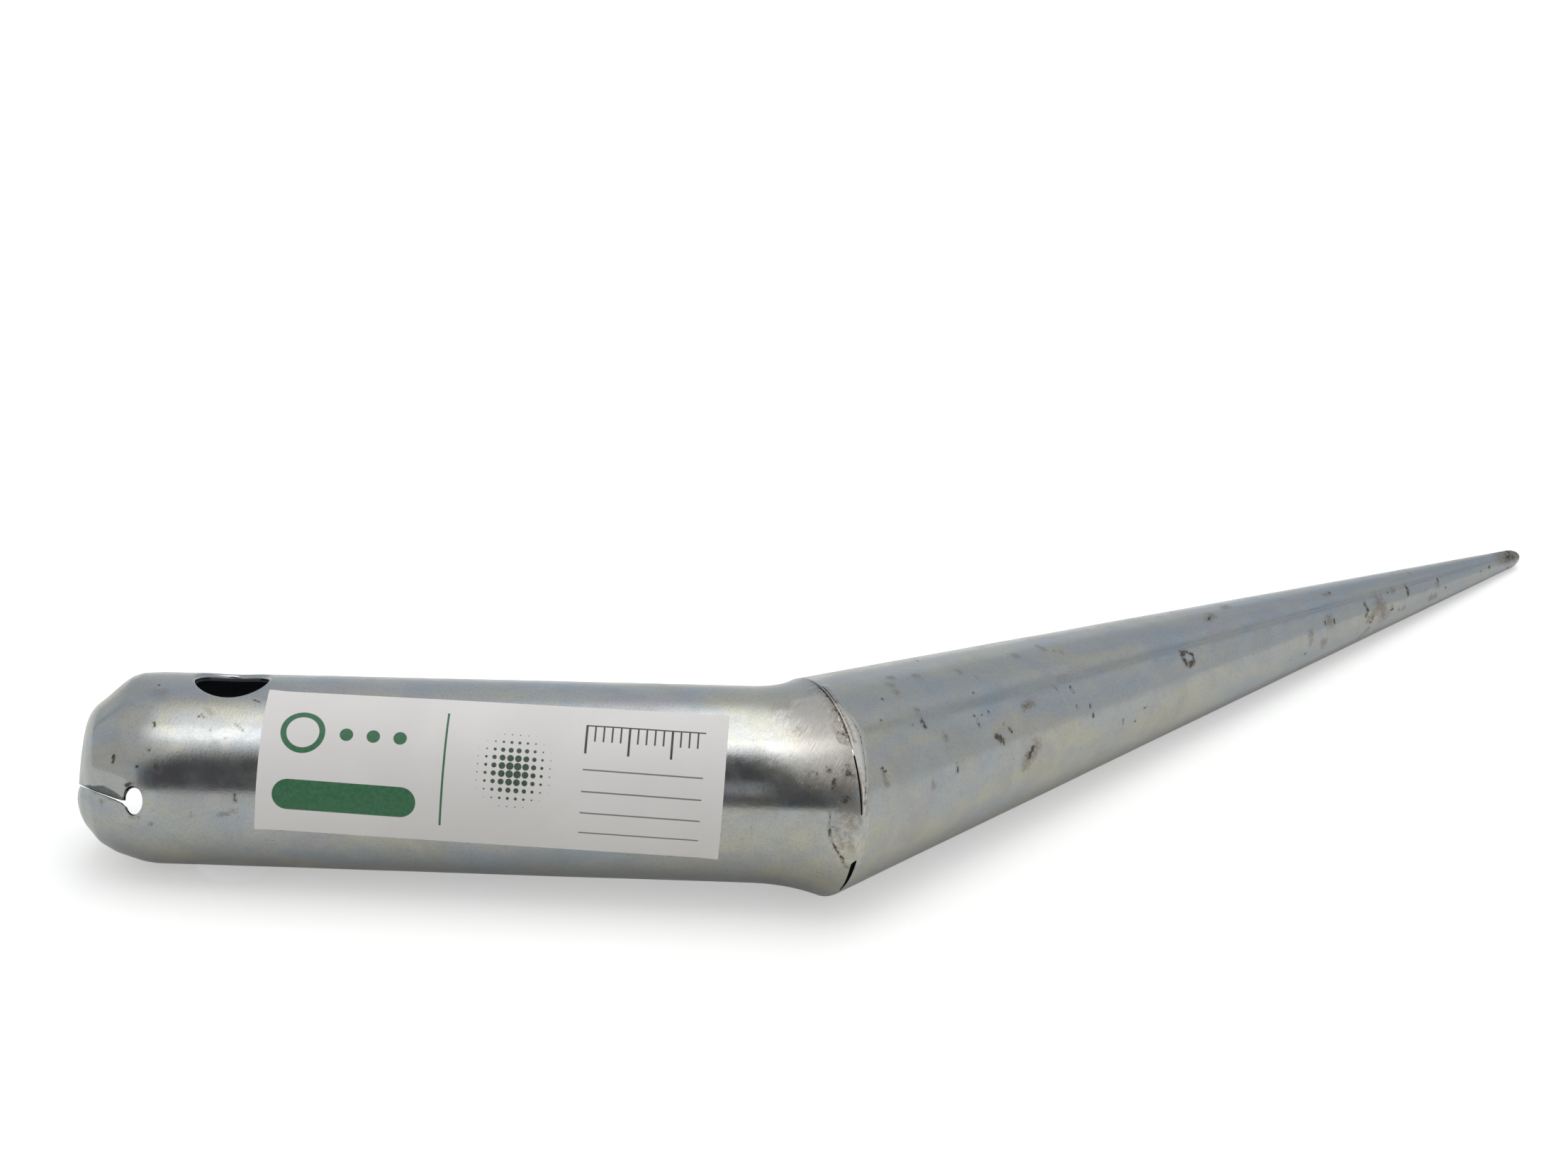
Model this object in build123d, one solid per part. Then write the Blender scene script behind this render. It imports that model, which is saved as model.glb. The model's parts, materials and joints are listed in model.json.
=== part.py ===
from build123d import *
from math import asin, atan2, cos, hypot, radians, sin, sqrt, tan
import os

# Bent dibber: a closed sheet-steel handle, mitred and welded to a hollow sheet-steel spike.
# It is drawn with the elbow at the origin, the handle along -X and the spike 45 degrees
# towards +Y, and is then laid on its side as it rests on a table.
# Millimetres and degrees throughout.

# Sheet and welding
wall = 1.5                      # sheet thickness of handle and spike
root_gap = 0.5                  # opening left between two edges before they are welded
weld_crown = 0.4                # height of a weld run above the sheet
weld_root = 0.4                 # how far weld metal stands out on the inside of the sheet

# Handle
handle_length = 139.2           # rear end to the middle of the elbow
handle_rear_diameter = 36.3
handle_front_diameter = 38.0

# Rear end, pressed shut: places of its sections from the end face forward, and for each how far
# the top, the bottom and the two sides are pressed in, as shares of the tube's radius
closure_places = (0.0, 0.7, 1.8, 4.7, 7.7, 10.7, 15.2)
closure_press_shares = (
    # top, bottom, sides
    (1.157, 0.606, 0.799),
    (0.799, 0.474, 0.529),
    (0.540, 0.364, 0.353),
    (0.325, 0.215, 0.171),
    (0.132, 0.138, 0.088),
    (0.033, 0.077, 0.033),
    (0.000, 0.000, 0.000),
)
closure_roll = 20.5             # the press stroke leans this much from the bend plane

# Keyhole cut across the rear end: a relief hole in each side and the slit between the two lips
relief_from_end = 13.0          # near hole, along the handle
relief_drop = 6.6               # hole centre below the handle axis, across the press stroke
relief_width = 3.2
relief_height = 5.6
relief_skew = 10.0              # the cut runs back by this angle, so the far hole is nearer the end
slit_rise_angle = 20.0          # the slit climbs towards the end
slit_drop = 1.0                 # the slit meets the hole this far below its middle
slit_width_at_hole = 0.9
slit_width_at_end = 0.3

# Hanging hole, drilled square to the bend plane through both walls
hanging_hole_from_end = 28.8
hanging_hole_diameter = 14.4

# Elbow, where both pieces are cut on the bisector of the bend
bend_angle = 45.0
joint_diameter = 41.7           # outside diameter of the spike at the elbow
flare_length = 12.0             # length over which the handle swells to meet the spike

# Spike
spike_length = 257.0            # middle of the elbow to the point
nose_radius = 2.1               # rounding of the point
nose_length = 17.0              # solid weld metal that closes the point
nose_root_depth = 4.0           # how far that metal runs into the hollow spike

# Long seams where each rolled blank closes, welded along most of their length
seam_weld_radius = 1.4          # round weld run laid along a seam
seam_weld_end_clearance = 12.0  # bare seam left at each end of the run
spike_seam_angle = 35.0         # spike's seam, down from the inside of the bend

# Elbow weld runs, as angles round the joint from the outside of the bend up over the top
elbow_weld_width = 8.0          # across the foot of the run
elbow_weld_flat = 2.4           # across the flat that the grinder leaves on its crown
elbow_weld_top_span = (38.0, 94.0)
elbow_weld_side_span = (-24.0, 4.5)
elbow_weld_inner_span = (140.0, 205.0)

# Paper label wrapped on the outside of the bend, as long as the plain tube lets it be
label_rear_from_hole = 7.05     # middle of the hanging hole to the label's rear edge
label_front_clearance = 4.85    # bare tube between the label and the flare
label_height = 29.0             # measured round the handle
label_thickness = 0.15
label_glue = 0.06               # film of glue under the paper
label_center_angle = 24.0       # up from the bend plane
label_turn = -3.0               # stuck on slightly crooked

# Reach of the cutting tools past what they cut
cut_margin = 5.0
settling_steps = 12

# Values that follow from the sizes above
half_bend = radians(bend_angle / 2)
joint_radius = joint_diameter / 2
along_handle = Vector(1, 0, 0)
along_spike = Vector(cos(2 * half_bend), sin(2 * half_bend), 0)
inside_of_bend = Vector(-along_spike.Y, along_spike.X, 0)
mitre_normal = Vector(cos(half_bend), sin(half_bend), 0)
mitre_across = Vector(-sin(half_bend), cos(half_bend), 0)
rear_x = -handle_length
closure_length = closure_places[-1]
label_start_x = rear_x + hanging_hole_from_end + label_rear_from_hole
label_end_x = -flare_length - label_front_clearance
label_length = label_end_x - label_start_x

# Spike taper: the cone runs from the joint radius to a tangent on the round point
nose_center_along = spike_length - nose_radius
spike_reach = hypot(joint_radius, nose_center_along)
half_taper = atan2(joint_radius, nose_center_along) - asin(nose_radius / spike_reach)
nose_tangent_along = nose_center_along + nose_radius * sin(half_taper)
nose_start = spike_length - nose_length

# The slanted cut through the cone is an oval whose middle lies off the cone's axis, towards the
# outside of the bend, and the handle is belled to that oval
cut_spread = cos(half_bend) ** 2 - (sin(half_bend) * tan(half_taper)) ** 2
rim_offset = joint_radius * sin(half_bend) * tan(half_taper) / cut_spread
rim_across = joint_radius * cos(half_bend) / cut_spread
rim_upright = joint_radius
rim_center = mitre_across * -rim_offset
elbow = Vector(0, 0, 0)


def handle_radius(x):
    """Outside radius of the plain handle tube, which widens slightly towards the elbow."""
    share = (x - rear_x) / handle_length
    return (handle_rear_diameter + share * (handle_front_diameter - handle_rear_diameter)) / 2


def spike_radius(along):
    """Outside radius of the spike at a distance from the elbow."""
    return joint_radius - along * tan(half_taper)


def spike_bore_radius(along):
    """Inside radius of the spike at a distance from the elbow."""
    return spike_radius(along) - wall / cos(half_taper)


def frustum(origin, axis, length, start_radius, end_radius):
    """Solid round bar, straight or tapered, that starts at origin and runs along axis."""
    outline = Polyline((0, 0), (start_radius, 0), (end_radius, length), (0, length), close=True)
    bar = revolve(Plane.XZ * make_face(outline), Axis.Z)
    return Plane(origin=origin, z_dir=axis) * bar


def closure_frame(x):
    """Section plane of the handle whose second axis is the direction of the press stroke."""
    roll = radians(closure_roll)
    return Plane(origin=(x, 0, 0), x_dir=(0, cos(roll), -sin(roll)), z_dir=along_handle)


def closure_sections(inset):
    """Flattened ovals of the pressed rear end, from its small end face to the round tube."""
    sections = []
    for from_end, press_shares in zip(closure_places, closure_press_shares):
        x = rear_x + from_end + inset
        radius = handle_radius(x)
        top, bottom, half_width = [radius * (1 - share) - inset for share in press_shares]
        oval = Ellipse(half_width, (top + bottom) / 2)
        sections.append(closure_frame(x) * Pos(0, (top - bottom) / 2) * oval)
    return sections


def rim_plane(past_rim=0.0):
    """Plane of the handle's rim on the mitre, or one that lies past it."""
    middle = rim_center + mitre_normal * (past_rim - root_gap / 2)
    return Plane(origin=middle, x_dir=mitre_across, z_dir=mitre_normal)


def flare_sections(inset):
    """Rings of the belled front end, from the round tube to the rim on the mitre."""
    start_radius = handle_radius(-flare_length) - inset
    tube_growth = handle_radius(0) - handle_radius(-flare_length)
    bell_growth = rim_upright - handle_radius(0)
    # share of the way to the mitre's slant, place along the flare, share of the bell's growth
    stations = [(0.0, 0.0, 0.0), (0.2, 0.25, 0.02), (0.65, 0.62, 0.36)]
    sections = []
    for slant_share, place, bell_share in stations:
        slant = half_bend * slant_share
        radius = start_radius + place * tube_growth + bell_share * bell_growth
        center = Vector(flare_length * (place - 1), 0, 0) + rim_center * bell_share
        plane = Plane(origin=center, x_dir=(-sin(slant), cos(slant), 0), z_dir=(cos(slant), sin(slant), 0))
        sections.append(plane * Ellipse(radius / cos(slant), radius))
    sections.append(rim_plane() * rim_oval(inset))
    return sections


def rim_oval(inset):
    """Outline of the handle's rim, or of its hollow there when inset is the wall."""
    return Ellipse(rim_across - inset / cos(half_bend), rim_upright - inset)


def handle_tube_bar(inset):
    """Plain tapered part of the handle between its pressed end and its belled end."""
    start_x = rear_x + closure_length + inset
    end_x = -flare_length
    return frustum((start_x, 0, 0), along_handle, end_x - start_x,
                   handle_radius(start_x) - inset, handle_radius(end_x) - inset)


def handle_outside():
    """Outside of the handle: the pressed end, the plain tube and the belled end."""
    return loft(closure_sections(0.0), ruled=True) + handle_tube_bar(0.0) + loft(flare_sections(0.0))


def handle_hollow():
    """Space inside the handle, from the pressed end out past the rim."""
    past_rim = rim_plane(cut_margin) * rim_oval(wall)
    pressed_end = loft(closure_sections(wall)[1:], ruled=True)
    belled_end = loft(flare_sections(wall) + [past_rim], ruled=True)
    return pressed_end + handle_tube_bar(wall) + belled_end


def relief_plane():
    """Plane of the keyhole cut, facing along the cut, with its origin on the handle's mid-plane."""
    roll = radians(closure_roll)
    skew = radians(relief_skew)
    towards_near_side = Vector(0, -cos(roll), sin(roll))
    upwards = Vector(0, sin(roll), cos(roll))
    near_x = rear_x + relief_from_end
    near_reach = sqrt(handle_radius(near_x) ** 2 - relief_drop ** 2)
    middle = Vector(near_x - near_reach * tan(skew), 0, 0) - upwards * relief_drop
    return Plane(origin=middle,
                 x_dir=along_handle * cos(skew) - towards_near_side * sin(skew),
                 z_dir=along_handle * sin(skew) + towards_near_side * cos(skew))


def keyhole_cutter():
    """Relief hole and wedge-shaped slit, carried right through both sides of the handle."""
    slit_length = relief_from_end + cut_margin
    rise = radians(slit_rise_angle)
    across = Vector(sin(rise), cos(rise))
    hole_half = across * (slit_width_at_hole / 2)
    end_half = across * (slit_width_at_end / 2)
    inner = Vector(0, -slit_drop)
    outer = inner + Vector(-cos(rise), sin(rise)) * slit_length
    wedge = Polyline(inner + hole_half, outer + end_half, outer - end_half, inner - hole_half, close=True)
    slit = make_face(wedge)
    hole = Ellipse(relief_width / 2, relief_height / 2)
    reach = handle_rear_diameter / 2 + cut_margin
    return extrude(relief_plane() * (hole + slit), amount=reach, both=True)


def handle_seam_direction():
    """Outward direction of the handle's long seam, in line with the far relief hole."""
    roll = radians(closure_roll)
    radius = handle_rear_diameter / 2
    below = asin(relief_drop / radius) + roll
    return Vector(0, cos(below), -sin(below))


def spike_seam_direction():
    """Outward direction of the spike's long seam, below the inside of the bend."""
    below = radians(spike_seam_angle)
    return inside_of_bend * cos(below) - Vector(0, 0, 1) * sin(below)


def seam_cutter(start, end, outward, bore_reach):
    """Thin slot through one wall along a straight seam from start to end."""
    middle = (start + end) / 2
    run = end - start
    plane = Plane(origin=middle, x_dir=run, z_dir=outward)
    depth = bore_reach + cut_margin
    return plane * Box(run.length, root_gap, depth, align=(Align.CENTER, Align.CENTER, Align.MIN))


def seam_weld(start, end, outward):
    """Round weld run along a seam whose outside edge goes from start to end."""
    sunk = outward * (seam_weld_radius - weld_crown)
    run = end - start
    return frustum(start - sunk, run, run.length, seam_weld_radius, seam_weld_radius)


def behind_mitre():
    """Everything on the handle's side of the spike's rim."""
    plane = Plane(origin=mitre_normal * (root_gap / 2), x_dir=mitre_across, z_dir=mitre_normal)
    size = 2 * handle_length
    return plane * Box(size, size, size, align=(Align.CENTER, Align.CENTER, Align.MAX))


def make_handle():
    """Handle: a rolled tube with a pressed rear end, a belled front end and its holes."""
    shell = handle_outside() - handle_hollow()
    hole_center = Pos(rear_x + hanging_hole_from_end, 0, 0)
    drill = hole_center * Cylinder(hanging_hole_diameter / 2, handle_front_diameter + 2 * cut_margin)
    seam_end = Vector(joint_radius, 0, 0)
    seam_start = Vector(rear_x + closure_length, 0, 0)
    seam = seam_cutter(seam_start, seam_end, handle_seam_direction(), handle_front_diameter / 2)
    return shell - drill - keyhole_cutter() - seam


def make_handle_seam_weld(handle):
    """Weld run along the hidden side of the handle."""
    start_x = rear_x + closure_length + seam_weld_end_clearance
    end_x = -flare_length - seam_weld_end_clearance
    outward = handle_seam_direction()
    start = Vector(start_x, 0, 0) + outward * handle_radius(start_x)
    end = Vector(end_x, 0, 0) + outward * handle_radius(end_x)
    return seam_weld(start, end, outward) - handle


def make_spike():
    """Spike: a sheet rolled into a long hollow cone, cut on the mitre and open at both ends."""
    back = joint_radius
    length = back + nose_start
    base = elbow - along_spike * back
    outside = frustum(base, along_spike, length, spike_radius(-back), spike_radius(nose_start))
    hollow_start = base - along_spike * cut_margin
    hollow_end = nose_start + cut_margin
    hollow_length = length + 2 * cut_margin
    hollow = frustum(hollow_start, along_spike, hollow_length,
                     spike_bore_radius(-back - cut_margin), spike_bore_radius(hollow_end))
    seam = seam_cutter(base, along_spike * hollow_end, spike_seam_direction(), joint_radius)
    return outside - hollow - behind_mitre() - seam


def make_spike_seam_weld(spike):
    """Weld run along the spike's seam."""
    outward = spike_seam_direction()
    start_along = joint_radius * tan(half_bend) + seam_weld_end_clearance
    end_along = nose_start - nose_root_depth - seam_weld_end_clearance
    start = along_spike * start_along + outward * spike_radius(start_along)
    end = along_spike * end_along + outward * spike_radius(end_along)
    return seam_weld(start, end, outward) - spike


def make_nose():
    """Point of the spike: weld metal dressed to a round nose, rooted in the end of the cone."""
    root_along = nose_start - nose_root_depth
    tangent_radius = nose_radius * cos(half_taper)
    flank = Polyline((0, root_along), (spike_bore_radius(root_along), root_along),
                     (spike_bore_radius(nose_start), nose_start), (spike_radius(nose_start), nose_start),
                     (tangent_radius, nose_tangent_along))
    mid_angle = (half_taper + radians(90)) / 2
    mid_point = (nose_radius * cos(mid_angle), nose_center_along + nose_radius * sin(mid_angle))
    rounding = ThreePointArc((tangent_radius, nose_tangent_along), mid_point, (0, spike_length))
    closing = Line((0, spike_length), (0, root_along))
    outline = make_face(flank + rounding + closing)
    plane = Plane(origin=elbow, x_dir=inside_of_bend, z_dir=Vector(0, 0, -1))
    return plane * revolve(outline, Axis.Y, 360)


def make_elbow_weld(span, handle, spike):
    """One weld run round part of the elbow, dressed flat on its crown and swept along the rim."""
    rim_frame = Plane(origin=rim_center, x_dir=-mitre_across, z_dir=-mitre_normal)
    sweep_angle = span[1] - span[0]
    rim = rim_frame * EllipticalCenterArc((0, 0), rim_across, rim_upright, span[0], arc_size=sweep_angle)
    path = ThreePointArc(rim @ 0, rim @ 0.5, rim @ 1)
    start = Plane(origin=path @ 0, x_dir=-mitre_normal, z_dir=path % 0)
    foot = -wall - weld_root
    half_width = elbow_weld_width / 2
    half_flat = elbow_weld_flat / 2
    outline = Polyline((-half_width, foot), (-half_flat, weld_crown), (half_flat, weld_crown),
                       (half_width, foot), close=True)
    return sweep(start * make_face(outline), path) - handle - spike


def make_label():
    """Paper label that follows the round of the handle."""
    middle_x = (label_start_x + label_end_x) / 2
    start_x = label_start_x - cut_margin
    end_x = label_end_x + cut_margin
    length = end_x - start_x
    back = label_glue
    face = label_glue + label_thickness
    back_form = frustum((start_x, 0, 0), along_handle, length,
                        handle_radius(start_x) + back, handle_radius(end_x) + back)
    face_form = frustum((start_x, 0, 0), along_handle, length,
                        handle_radius(start_x) + face, handle_radius(end_x) + face)
    rise = radians(label_center_angle)
    facing = Plane(origin=(middle_x, 0, 0), x_dir=along_handle, z_dir=(0, -cos(rise), sin(rise)))
    radius = handle_radius(middle_x)
    chord = 2 * radius * sin(label_height / (2 * radius))
    outline = Rot(0, 0, label_turn) * Rectangle(label_length, chord)
    return (face_form - back_form) & extrude(facing * outline, amount=handle_front_diameter)


def resting_up():
    """Upward direction when the tool lies on its rear end, its elbow and its point."""
    rear_center = Vector(rear_x + closure_length, 0, 0)
    rear_radius = handle_radius(rear_center.X)
    nose_center = along_spike * nose_center_along
    up = Vector(0, 0, 1)
    for _ in range(settling_steps):
        square_to_handle = (up - along_handle * up.X).normalized()
        rear_contact = rear_center - square_to_handle * rear_radius
        across_reach = rim_across * up.dot(mitre_across)
        upright_reach = rim_upright * up.Z
        reach = hypot(across_reach, upright_reach)
        rim_reach = mitre_across * (rim_across * across_reach) + Vector(0, 0, rim_upright * upright_reach)
        elbow_contact = rim_center - rim_reach / reach
        nose_contact = nose_center - up * nose_radius
        up = (elbow_contact - rear_contact).cross(nose_contact - elbow_contact).normalized()
    return up


def laid_down(solids):
    """Every piece as it lies at rest, with the middle of the footprint at the origin."""
    up = resting_up()
    table = Plane(origin=(0, 0, 0), x_dir=along_handle - up * up.X, z_dir=up)
    lying = {name: table.to_local_coords(solid) for name, solid in solids.items()}
    boxes = [solid.bounding_box() for solid in lying.values()]
    middle_x = (min(box.min.X for box in boxes) + max(box.max.X for box in boxes)) / 2
    middle_y = (min(box.min.Y for box in boxes) + max(box.max.Y for box in boxes)) / 2
    lowest = min(box.min.Z for box in boxes)
    return {name: Pos(-middle_x, -middle_y, -lowest) * solid for name, solid in lying.items()}


def make_dibber():
    """All pieces of the tool, by name."""
    handle = make_handle()
    spike = make_spike()
    return {
        "handle_tube": handle,
        "spike_cone": spike,
        "spike_nose": make_nose(),
        "handle_seam_weld": make_handle_seam_weld(handle),
        "spike_seam_weld": make_spike_seam_weld(spike),
        "elbow_weld_top": make_elbow_weld(elbow_weld_top_span, handle, spike),
        "elbow_weld_side": make_elbow_weld(elbow_weld_side_span, handle, spike),
        "elbow_weld_inner": make_elbow_weld(elbow_weld_inner_span, handle, spike),
        "paper_label": make_label(),
    }


os.makedirs("parts", exist_ok=True)
for piece_name, piece in laid_down(make_dibber()).items():
    export_step(piece, f"parts/{piece_name}.step")
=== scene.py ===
import json
from math import asin, atan2, cos, degrees, hypot, pi, radians, sin, sqrt, tan

import bmesh
import bpy
import numpy as np
from mathutils import Matrix, Vector, noise


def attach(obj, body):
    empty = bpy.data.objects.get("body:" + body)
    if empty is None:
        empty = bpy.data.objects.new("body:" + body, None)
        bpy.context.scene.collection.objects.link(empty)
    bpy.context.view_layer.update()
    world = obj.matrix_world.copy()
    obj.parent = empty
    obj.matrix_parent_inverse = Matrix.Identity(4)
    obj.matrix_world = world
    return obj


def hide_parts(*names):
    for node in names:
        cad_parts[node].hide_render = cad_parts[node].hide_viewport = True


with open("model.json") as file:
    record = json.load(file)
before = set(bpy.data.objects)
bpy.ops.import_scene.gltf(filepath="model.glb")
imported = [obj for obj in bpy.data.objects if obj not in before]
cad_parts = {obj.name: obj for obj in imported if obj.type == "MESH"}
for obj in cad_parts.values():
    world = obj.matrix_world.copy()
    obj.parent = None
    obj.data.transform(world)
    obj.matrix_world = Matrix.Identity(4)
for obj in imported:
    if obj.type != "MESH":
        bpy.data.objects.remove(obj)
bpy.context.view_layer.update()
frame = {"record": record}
scene = bpy.context.scene


# Sizes of the tool in millimetres and radians, as the CAD model has them

MM = 0.001
WALL = 1.5
ROOT_GAP = 0.5
HANDLE_LENGTH = 139.2
HANDLE_REAR_RADIUS = 18.15
HANDLE_FRONT_RADIUS = 19.0
HOLE_FROM_END = 28.8
HOLE_RADIUS = 7.2
FLARE_LENGTH = 12.0
FLARE_START = HANDLE_LENGTH - FLARE_LENGTH
HALF_BEND = radians(22.5)
JOINT_RADIUS = 20.85
SPIKE_LENGTH = 257.0
NOSE_RADIUS = 2.1
NOSE_LENGTH = 17.0
NOSE_START = SPIKE_LENGTH - NOSE_LENGTH
NOSE_ROOT = 4.0

# Long round tip that the scene draws in place of the model's ball, and how far it is drawn out
NOSE_REACH = 6.2
NOSE_STRETCH = 0.35

# Pressed rear end: reach of its top, its bottom and its two sides at places from the end forward
CLOSURE_LENGTH = 15.2
CLOSURE_ROLL = radians(20.5)
CLOSURE_TOP = ((0, -5.0), (0.1, -3.0), (0.3, 0.5), (0.7, 5.9), (1.1, 8.6), (1.7, 10.2), (2.9, 11.7),
               (4.7, 13.1), (8.0, 16.2), (9.6, 17.35), (11.4, 18.0), (15.2, 18.24))
CLOSURE_BOTTOM = ((0, 5.0), (0.1, 6.4), (0.3, 7.8), (0.7, 9.55), (1.8, 11.54), (4.7, 14.7),
                  (7.7, 16.35), (10.7, 17.3), (13.0, 17.95), (15.2, 18.24))
FLAP_LENGTH = 24.0
FLAP_SIDE = ((0, 0), (0.1, 2.0), (0.3, 3.6), (1.2, 7.0), (3.6, 13.3), (4.2, 13.75), (10.0, 17.0),
             (12.0, 17.65), (15.0, 18.05), (20.0, 18.25), (24.0, 18.3))
DOME_SIDE = ((0, 0), (0.1, 2.6), (0.3, 5.4), (0.7, 8.8), (1.8, 12.3), (4.7, 15.9), (7.7, 17.2),
             (10.7, 17.9), (12.2, 18.15), (15.2, 18.24))
CREASE_SOFTNESS = 0.45
FLAP_SOFTNESS = 1.6
LIP_TURN = 0.8
LIP_HEIGHT = 4.6
LOWER_LIP_BACK = 0.7
LOWER_LIP_TURN = 0.45
LOWER_LIP_HEIGHT = 3.5

# Keyhole in the pressed end, in the plane of its cut
RELIEF_FROM_END = 13.0
RELIEF_DROP = 6.6
RELIEF_SKEW = radians(8.9)
RELIEF_HALF_WIDTH = 1.6
RELIEF_HALF_HEIGHT = 2.6
RELIEF_FLARE = 0.4
SLIT_RISE = radians(20)
SLIT_DROP = 1.0
SLIT_HALF_WIDTHS = ((0.0, 0.95), (1.6, 0.60), (2.4, 0.28), (4.0, 0.14), (18.0, 0.04))
CUT_REACH = 25.0

# Rounding of the hanging hole's edge, on the viewer's side and on the far side
HOLE_EDGE_NEAR = 0.35
HOLE_EDGE_FAR = 1.15

# Seams of the two rolled blanks, as angles from the outside of the bend up over the top
HANDLE_SEAM = -pi + asin(RELIEF_DROP / HANDLE_REAR_RADIUS) + CLOSURE_ROLL
SPIKE_SEAM = -pi + radians(35)

# Faint crease that the rolls left on the spike, in degrees from the outside of the bend
ROLL_CREASE = 45.0

# Weld runs: angles round the elbow in degrees, half widths, and the two ends of each run along a seam
WELD_DEPTH = 1.2
ELBOW_TOP_SPAN = (37, 95)
ELBOW_TOP_HALF_WIDTH = 4.2
ELBOW_SIDE_SPAN = (-20.5, 6)
ELBOW_SIDE_HALF_WIDTH = 7.5
ELBOW_INNER_SPAN = (139, 206)
ELBOW_INNER_HALF_WIDTH = 3.4
SEAM_BEAD_HALF_WIDTH = 1.35
SEAM_END_CLEARANCE = 12.0
HANDLE_SEAM_RUN = (CLOSURE_LENGTH + SEAM_END_CLEARANCE, FLARE_START - SEAM_END_CLEARANCE)
SPIKE_SEAM_RUN = (20.6, NOSE_START - NOSE_ROOT - SEAM_END_CLEARANCE)

# Paper label: its sizes, its middle along the handle and round it, its turn, and its two faces over the tube
LABEL_LENGTH = 86.5
LABEL_HEIGHT = 29.0
LABEL_MIDDLE = 79.1
LABEL_MIDDLE_ANGLE = radians(22.8)
LABEL_TURN = radians(-2.6)
LABEL_BACK = 0.03
LABEL_FACE = 0.21

# The tool's own frame: elbow at the origin, handle along -X, spike 45 degrees towards +Y
mount = frame["record"]["mounts"][0]
tool_up = Vector(mount["axis"]).normalized()
tool_along = Vector((tool_up.z, 0, -tool_up.x)).normalized()
tool_across = tool_up.cross(tool_along)
TOOL_AXES = Matrix((tool_along, tool_across, tool_up)).transposed()
ELBOW = Vector(mount["pos_m"]) + tool_along * (HANDLE_LENGTH - HOLE_FROM_END) * MM

# Directions and the spike's taper in that frame
ALONG_HANDLE = Vector((1, 0, 0))
HANDLE_OUTSIDE = Vector((0, -1, 0))
UP = Vector((0, 0, 1))
ALONG_SPIKE = Vector((cos(2 * HALF_BEND), sin(2 * HALF_BEND), 0))
SPIKE_OUTSIDE = Vector((sin(2 * HALF_BEND), -cos(2 * HALF_BEND), 0))
MITRE_NORMAL = Vector((cos(HALF_BEND), sin(HALF_BEND), 0))
MITRE_OUTSIDE = Vector((sin(HALF_BEND), -cos(HALF_BEND), 0))
NOSE_CENTER = SPIKE_LENGTH - NOSE_RADIUS
HALF_TAPER = atan2(JOINT_RADIUS, NOSE_CENTER) - asin(NOSE_RADIUS / hypot(JOINT_RADIUS, NOSE_CENTER))
TAPER = tan(HALF_TAPER)
CUT_SPREAD = cos(HALF_BEND) ** 2 - (sin(HALF_BEND) * TAPER) ** 2
RIM_ACROSS = JOINT_RADIUS * cos(HALF_BEND) / CUT_SPREAD
RIM_OFFSET = JOINT_RADIUS * sin(HALF_BEND) * TAPER / CUT_SPREAD
RIM_CENTER = MITRE_OUTSIDE * RIM_OFFSET


# Small geometry helpers

def clamp01(value):
    return max(0.0, min(1.0, value))


def smooth(low, high, value):
    """Smooth step from 0 at low to 1 at high."""
    share = clamp01((value - low) / (high - low))
    return share * share * (3 - 2 * share)


def window(value, start, end, soft):
    """1 between start and end, falling smoothly to 0 over soft on each side."""
    return smooth(start - soft, start, value) * (1 - smooth(end, end + soft, value))


def straight_profile(points, place):
    """Reach at a place on a broken line of (place, reach) points."""
    place = max(points[0][0], min(points[-1][0], place))
    for (start, first), (end, second) in zip(points, points[1:]):
        if place <= end:
            return first + (second - first) * (place - start) / (end - start)
    return points[-1][1]


def profile(points, place, softness=CREASE_SOFTNESS):
    """The same line with its corners rounded."""
    soft = min(softness, 0.8 * place)
    samples = [straight_profile(points, place + soft * step / 6) for step in range(-6, 7)]
    return sum(samples) / len(samples)


def flap_side(from_end):
    """Reach of the flap's sides, with a wide soft bend where it eases into the tube."""
    soft = CREASE_SOFTNESS + 0.7 * window(from_end, 2.5, 5.0, 1.5)
    soft += (FLAP_SOFTNESS - CREASE_SOFTNESS) * smooth(6.0, 9.0, from_end)
    return profile(FLAP_SIDE, from_end, min(soft, FLAP_LENGTH - from_end))


def to_row(point):
    """Place in the shared frame, in metres, of a point in the tool's frame, in millimetres."""
    return ELBOW + TOOL_AXES @ (point * MM)


def to_tool(place):
    """The way back: a point in the tool's frame, in millimetres."""
    return TOOL_AXES.transposed() @ (place - ELBOW) / MM


def waver(point, size, seed):
    """Smooth noise between about -1 and 1 whose swells are about size millimetres across."""
    return noise.noise(point / size + Vector((seed * 7.3, seed * 3.1, seed * 5.7)))


# Surfaces of the handle and the spike

def handle_radius(from_end):
    share = from_end / HANDLE_LENGTH
    return HANDLE_REAR_RADIUS + share * (HANDLE_FRONT_RADIUS - HANDLE_REAR_RADIUS)


def keyhole_place(from_end, near, up):
    """Coordinates in the keyhole's plane, from the middle of the relief hole."""
    reach = sqrt(handle_radius(RELIEF_FROM_END) ** 2 - RELIEF_DROP ** 2)
    middle = RELIEF_FROM_END - reach * tan(RELIEF_SKEW)
    across = (from_end - middle) * cos(RELIEF_SKEW) - near * sin(RELIEF_SKEW)
    return across, up + RELIEF_DROP


def above_slit(across, up):
    """Height over the slit's middle line."""
    return up + SLIT_DROP + across * tan(SLIT_RISE)


def rounded_edge(distance, radius):
    """How far a surface falls away near a rounded edge."""
    if distance >= radius:
        return 0.0
    reach = radius - max(distance, 0.0)
    return radius - sqrt(radius * radius - reach * reach)


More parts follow.
